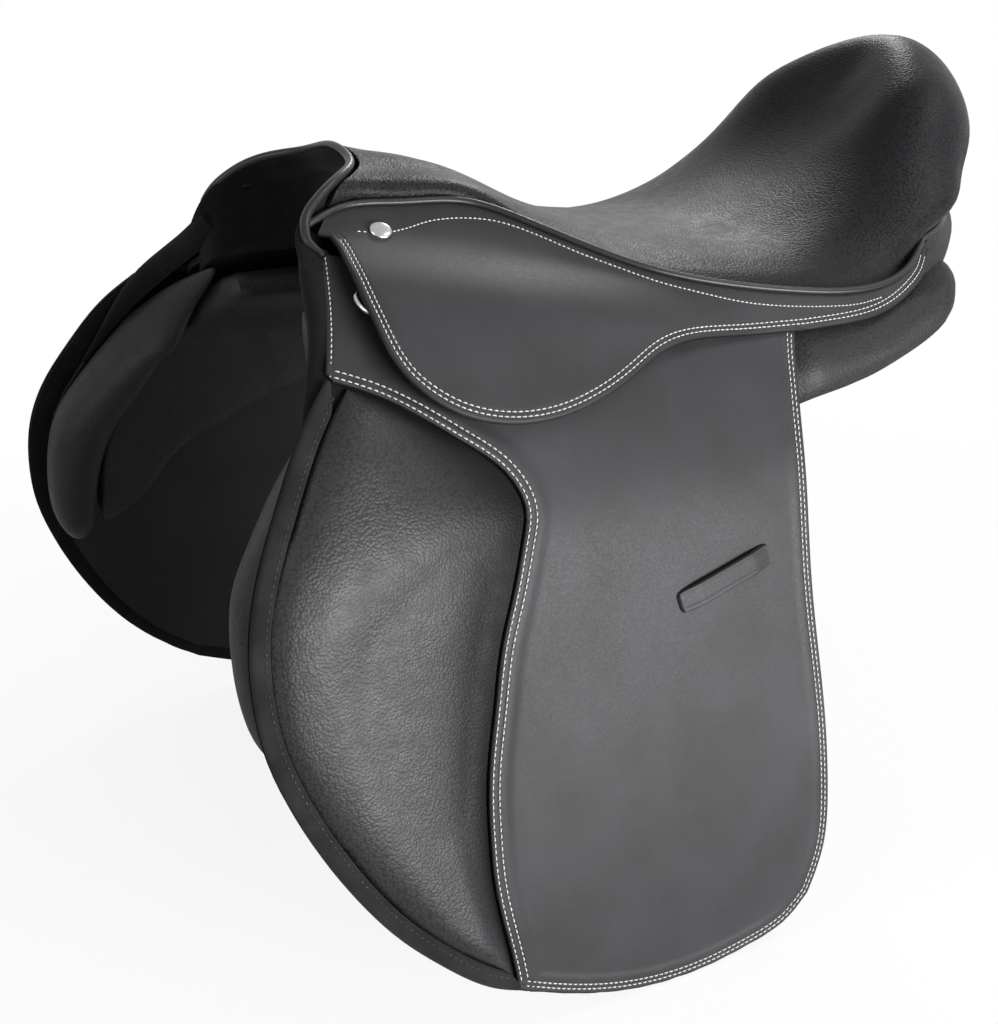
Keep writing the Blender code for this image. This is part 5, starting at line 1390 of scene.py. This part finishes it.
def makeMetal():
    x, s = nailValues["x"], nailValues["s"]
    size = ringValues
    loop = [(a, 0.0) for a in np.linspace(-size["straight"], size["straight"], 9)]
    loop += [(size["wide"] * math.cos(t), size["shoulder"] + size["tall"] * math.sin(t))
             for t in np.linspace(0.0, math.pi, 40)]
    height = gap + size["wire"] + 0.0001
    lean = math.radians(size["lean"])
    for name, side in sides:
        out = onSide(x, s, 0.01, side) - onSide(x, s, 0.0, side)
        base = onSide(x, s, gap + skirtThick + gap, side)
        nail = turnedPiece("headNail_" + name, nailForm, frameOf(base, (1, 0, 0), out), nickel, "saddle",
                           ("head_nail_" + name,))
        path = [atHinge(side, size["along"] + a * math.cos(lean) - u * math.sin(lean),
                        size["down"] + a * math.sin(lean) + u * math.cos(lean), height) for a, u in loop]
        ring = cordMesh("dRing_" + name, path, size["wire"], nickel, "d_ring_" + name, ("d_ring_" + name,),
                        16, True)


makeRear()
makeArch()
makeMetal()

# Pieces of the solid model that keep their shape and get their finish here
kept = {"tree_shell": beech, "webbing": webbing, "gullet_plate": steel}
sidePieces = {strapHide: ("sweat_flap", "billet_front", "billet_middle", "billet_rear", "ring_tab"),
              steel: ("arch_screw", "point_plate", "stirrup_bar", "bar_catch", "catch_pin",
                      "bar_rivet_front", "bar_rivet_rear"),
              webbing: ("billet_web",), suede: ("point_pocket",)}
for look, pieces in sidePieces.items():
    kept.update({piece + "_" + name: look for piece in pieces for name, _ in sides})
for node, look in kept.items():
    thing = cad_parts[node]
    if isinstance(thing, str):
        thing = bpy.data.objects[thing]
    for spot in thing.material_slots:
        spot.material = look
    if not thing.material_slots:
        thing.data.materials.append(look)
print("saddle: hidden pieces dressed")


# Floor, light and camera
# painted board, rolled matte: even and pale, with a faint cloud
floorValues = {"pale": "#fbfbfb", "cloud": "#f6f6f6", "rough": 0.9, "cloudMm": 111.1, "reach": 6.0,
               "under": 0.0008, "shadowFrom": 0.35, "shadowTo": 0.95, "shadowKept": 0.14}


def matteFloor():
    made, tree, shader, place = startMaterial("matte_floor", floorValues["rough"])
    cloud = add(tree, "TexNoise", {"Scale": perMetre(floorValues["cloudMm"]), "Detail": 4.0},
                {"Vector": place})
    colour = add(tree, "MixRGB", {"Color1": tone(floorValues["cloud"]), "Color2": tone(floorValues["pale"])},
                 {"Fac": (cloud, "Fac")})
    link(tree, shader, {"Base Color": (colour, "Color")})
    # plain white from afar, with the shadow kept near the saddle
    far = add(tree, "VectorMath", None, {0: place}, operation="LENGTH")
    share = add(tree, "MapRange", {"From Min": floorValues["shadowFrom"], "From Max": floorValues["shadowTo"],
                                   "To Min": 1 - floorValues["shadowKept"], "To Max": 1.0},
                {"Value": (far, "Value")})
    path = add(tree, "LightPath")
    factor = add(tree, "Math", None, {0: (share, "Result"), 1: (path, "Is Camera Ray")}, operation="MULTIPLY")
    white = add(tree, "Emission", {"Color": (1.0, 1.0, 1.0, 1.0), "Strength": 1.0})
    both = add(tree, "MixShader", None, {0: (factor, "Value"), 1: (shader, "BSDF"), 2: (white, "Emission")})
    link(tree, tree.nodes["Material Output"], {"Surface": (both, "Shader")})
    return made


def makeStage():
    low = cadBox[0][2] - floorValues["under"]
    reach = floorValues["reach"]
    corners = [(x * reach, y * reach, low) for x, y in ((-1, -1), (1, -1), (1, 1), (-1, 1))]
    mesh = bpy.data.meshes.new("floor")
    mesh.from_pydata(corners, [], [(0, 1, 2, 3)])
    floor = bpy.data.objects.new("floor", mesh)
    bpy.context.scene.collection.objects.link(floor)
    floor.data.materials.append(matteFloor())


# a pale room that metal mirrors at full white
roomValues = {"colour": "#f2f4f7", "strength": 0.22}


def makeRoom():
    world = bpy.data.worlds.new("studio")
    bpy.context.scene.world = world
    world.use_nodes = True
    tree = world.node_tree
    tree.nodes.clear()
    room = add(tree, "Background", {"Color": tone(roomValues["colour"]), "Strength": roomValues["strength"]})
    white = add(tree, "Background", {"Color": (1.0, 1.0, 1.0, 1.0), "Strength": 1.0})
    path = add(tree, "LightPath")
    mirror = add(tree, "Math", None, {0: (path, "Is Glossy Ray"), 1: (path, "Is Transmission Ray")},
                 operation="ADD")
    seen = add(tree, "Math", None, {0: (mirror, "Value"), 1: (path, "Is Camera Ray")}, operation="ADD",
               use_clamp=True)
    both = add(tree, "MixShader", None, {0: (seen, "Value"), 1: (room, "Background"),
                                         2: (white, "Background")})
    add(tree, "OutputWorld", None, {"Surface": (both, "Shader")})


# soft boxes: a long low one in front, small ones that draw the sheen on seat and skirt
lampValues = {
    "key": {"at": (0.35, -1.95, 0.03), "to": (-0.05, -0.15, -0.05), "size": (1.6, 0.55), "power": 96.0},
    "top": {"at": (0.84, 0.92, 0.98), "to": (0.05, -0.02, 0.09), "size": (0.35, 0.25), "power": 6.5},
    "high": {"at": (0.8, -0.62, 1.3), "to": (0.0, -0.1, 0.05), "size": (0.8, 0.5), "power": 8.0},
    "left": {"at": (-1.5, -0.3, 0.7), "to": (-0.1, 0.1, 0.0), "size": (0.6, 0.8), "power": 7.0}}


def makeLamps():
    for name, values in lampValues.items():
        data = bpy.data.lights.new(name, "AREA")
        data.shape = "RECTANGLE"
        data.size, data.size_y = values["size"]
        data.energy = values["power"]
        lamp = bpy.data.objects.new(name, data)
        bpy.context.scene.collection.objects.link(lamp)
        lamp.location = values["at"]
        way = Vector(values["to"]) - Vector(values["at"])
        lamp.rotation_euler = way.to_track_quat("-Z", "Y").to_euler()


cameraValues = {"at": (-0.5273, -0.775, 0.2558), "yaw": 30, "pitch": 20, "imageWide": 998,
                "focalPixels": 1550}


def makeCamera():
    data = bpy.data.cameras.new("photo_camera")
    data.sensor_width = 36
    data.sensor_fit = "HORIZONTAL"
    data.lens = cameraValues["focalPixels"] / cameraValues["imageWide"] * data.sensor_width
    data.clip_start = 0.01
    camera = bpy.data.objects.new("photo_camera", data)
    bpy.context.scene.collection.objects.link(camera)
    yaw, pitch = math.radians(cameraValues["yaw"]), math.radians(cameraValues["pitch"])
    look = Vector((math.sin(yaw) * math.cos(pitch), math.cos(yaw) * math.cos(pitch), -math.sin(pitch)))
    camera.location = cameraValues["at"]
    camera.rotation_euler = look.to_track_quat("-Z", "Y").to_euler()
    bpy.context.scene.camera = camera


makeStage()
makeRoom()
makeLamps()
makeCamera()
bpy.context.scene.view_settings.view_transform = "Standard"

print("saddle: finished")
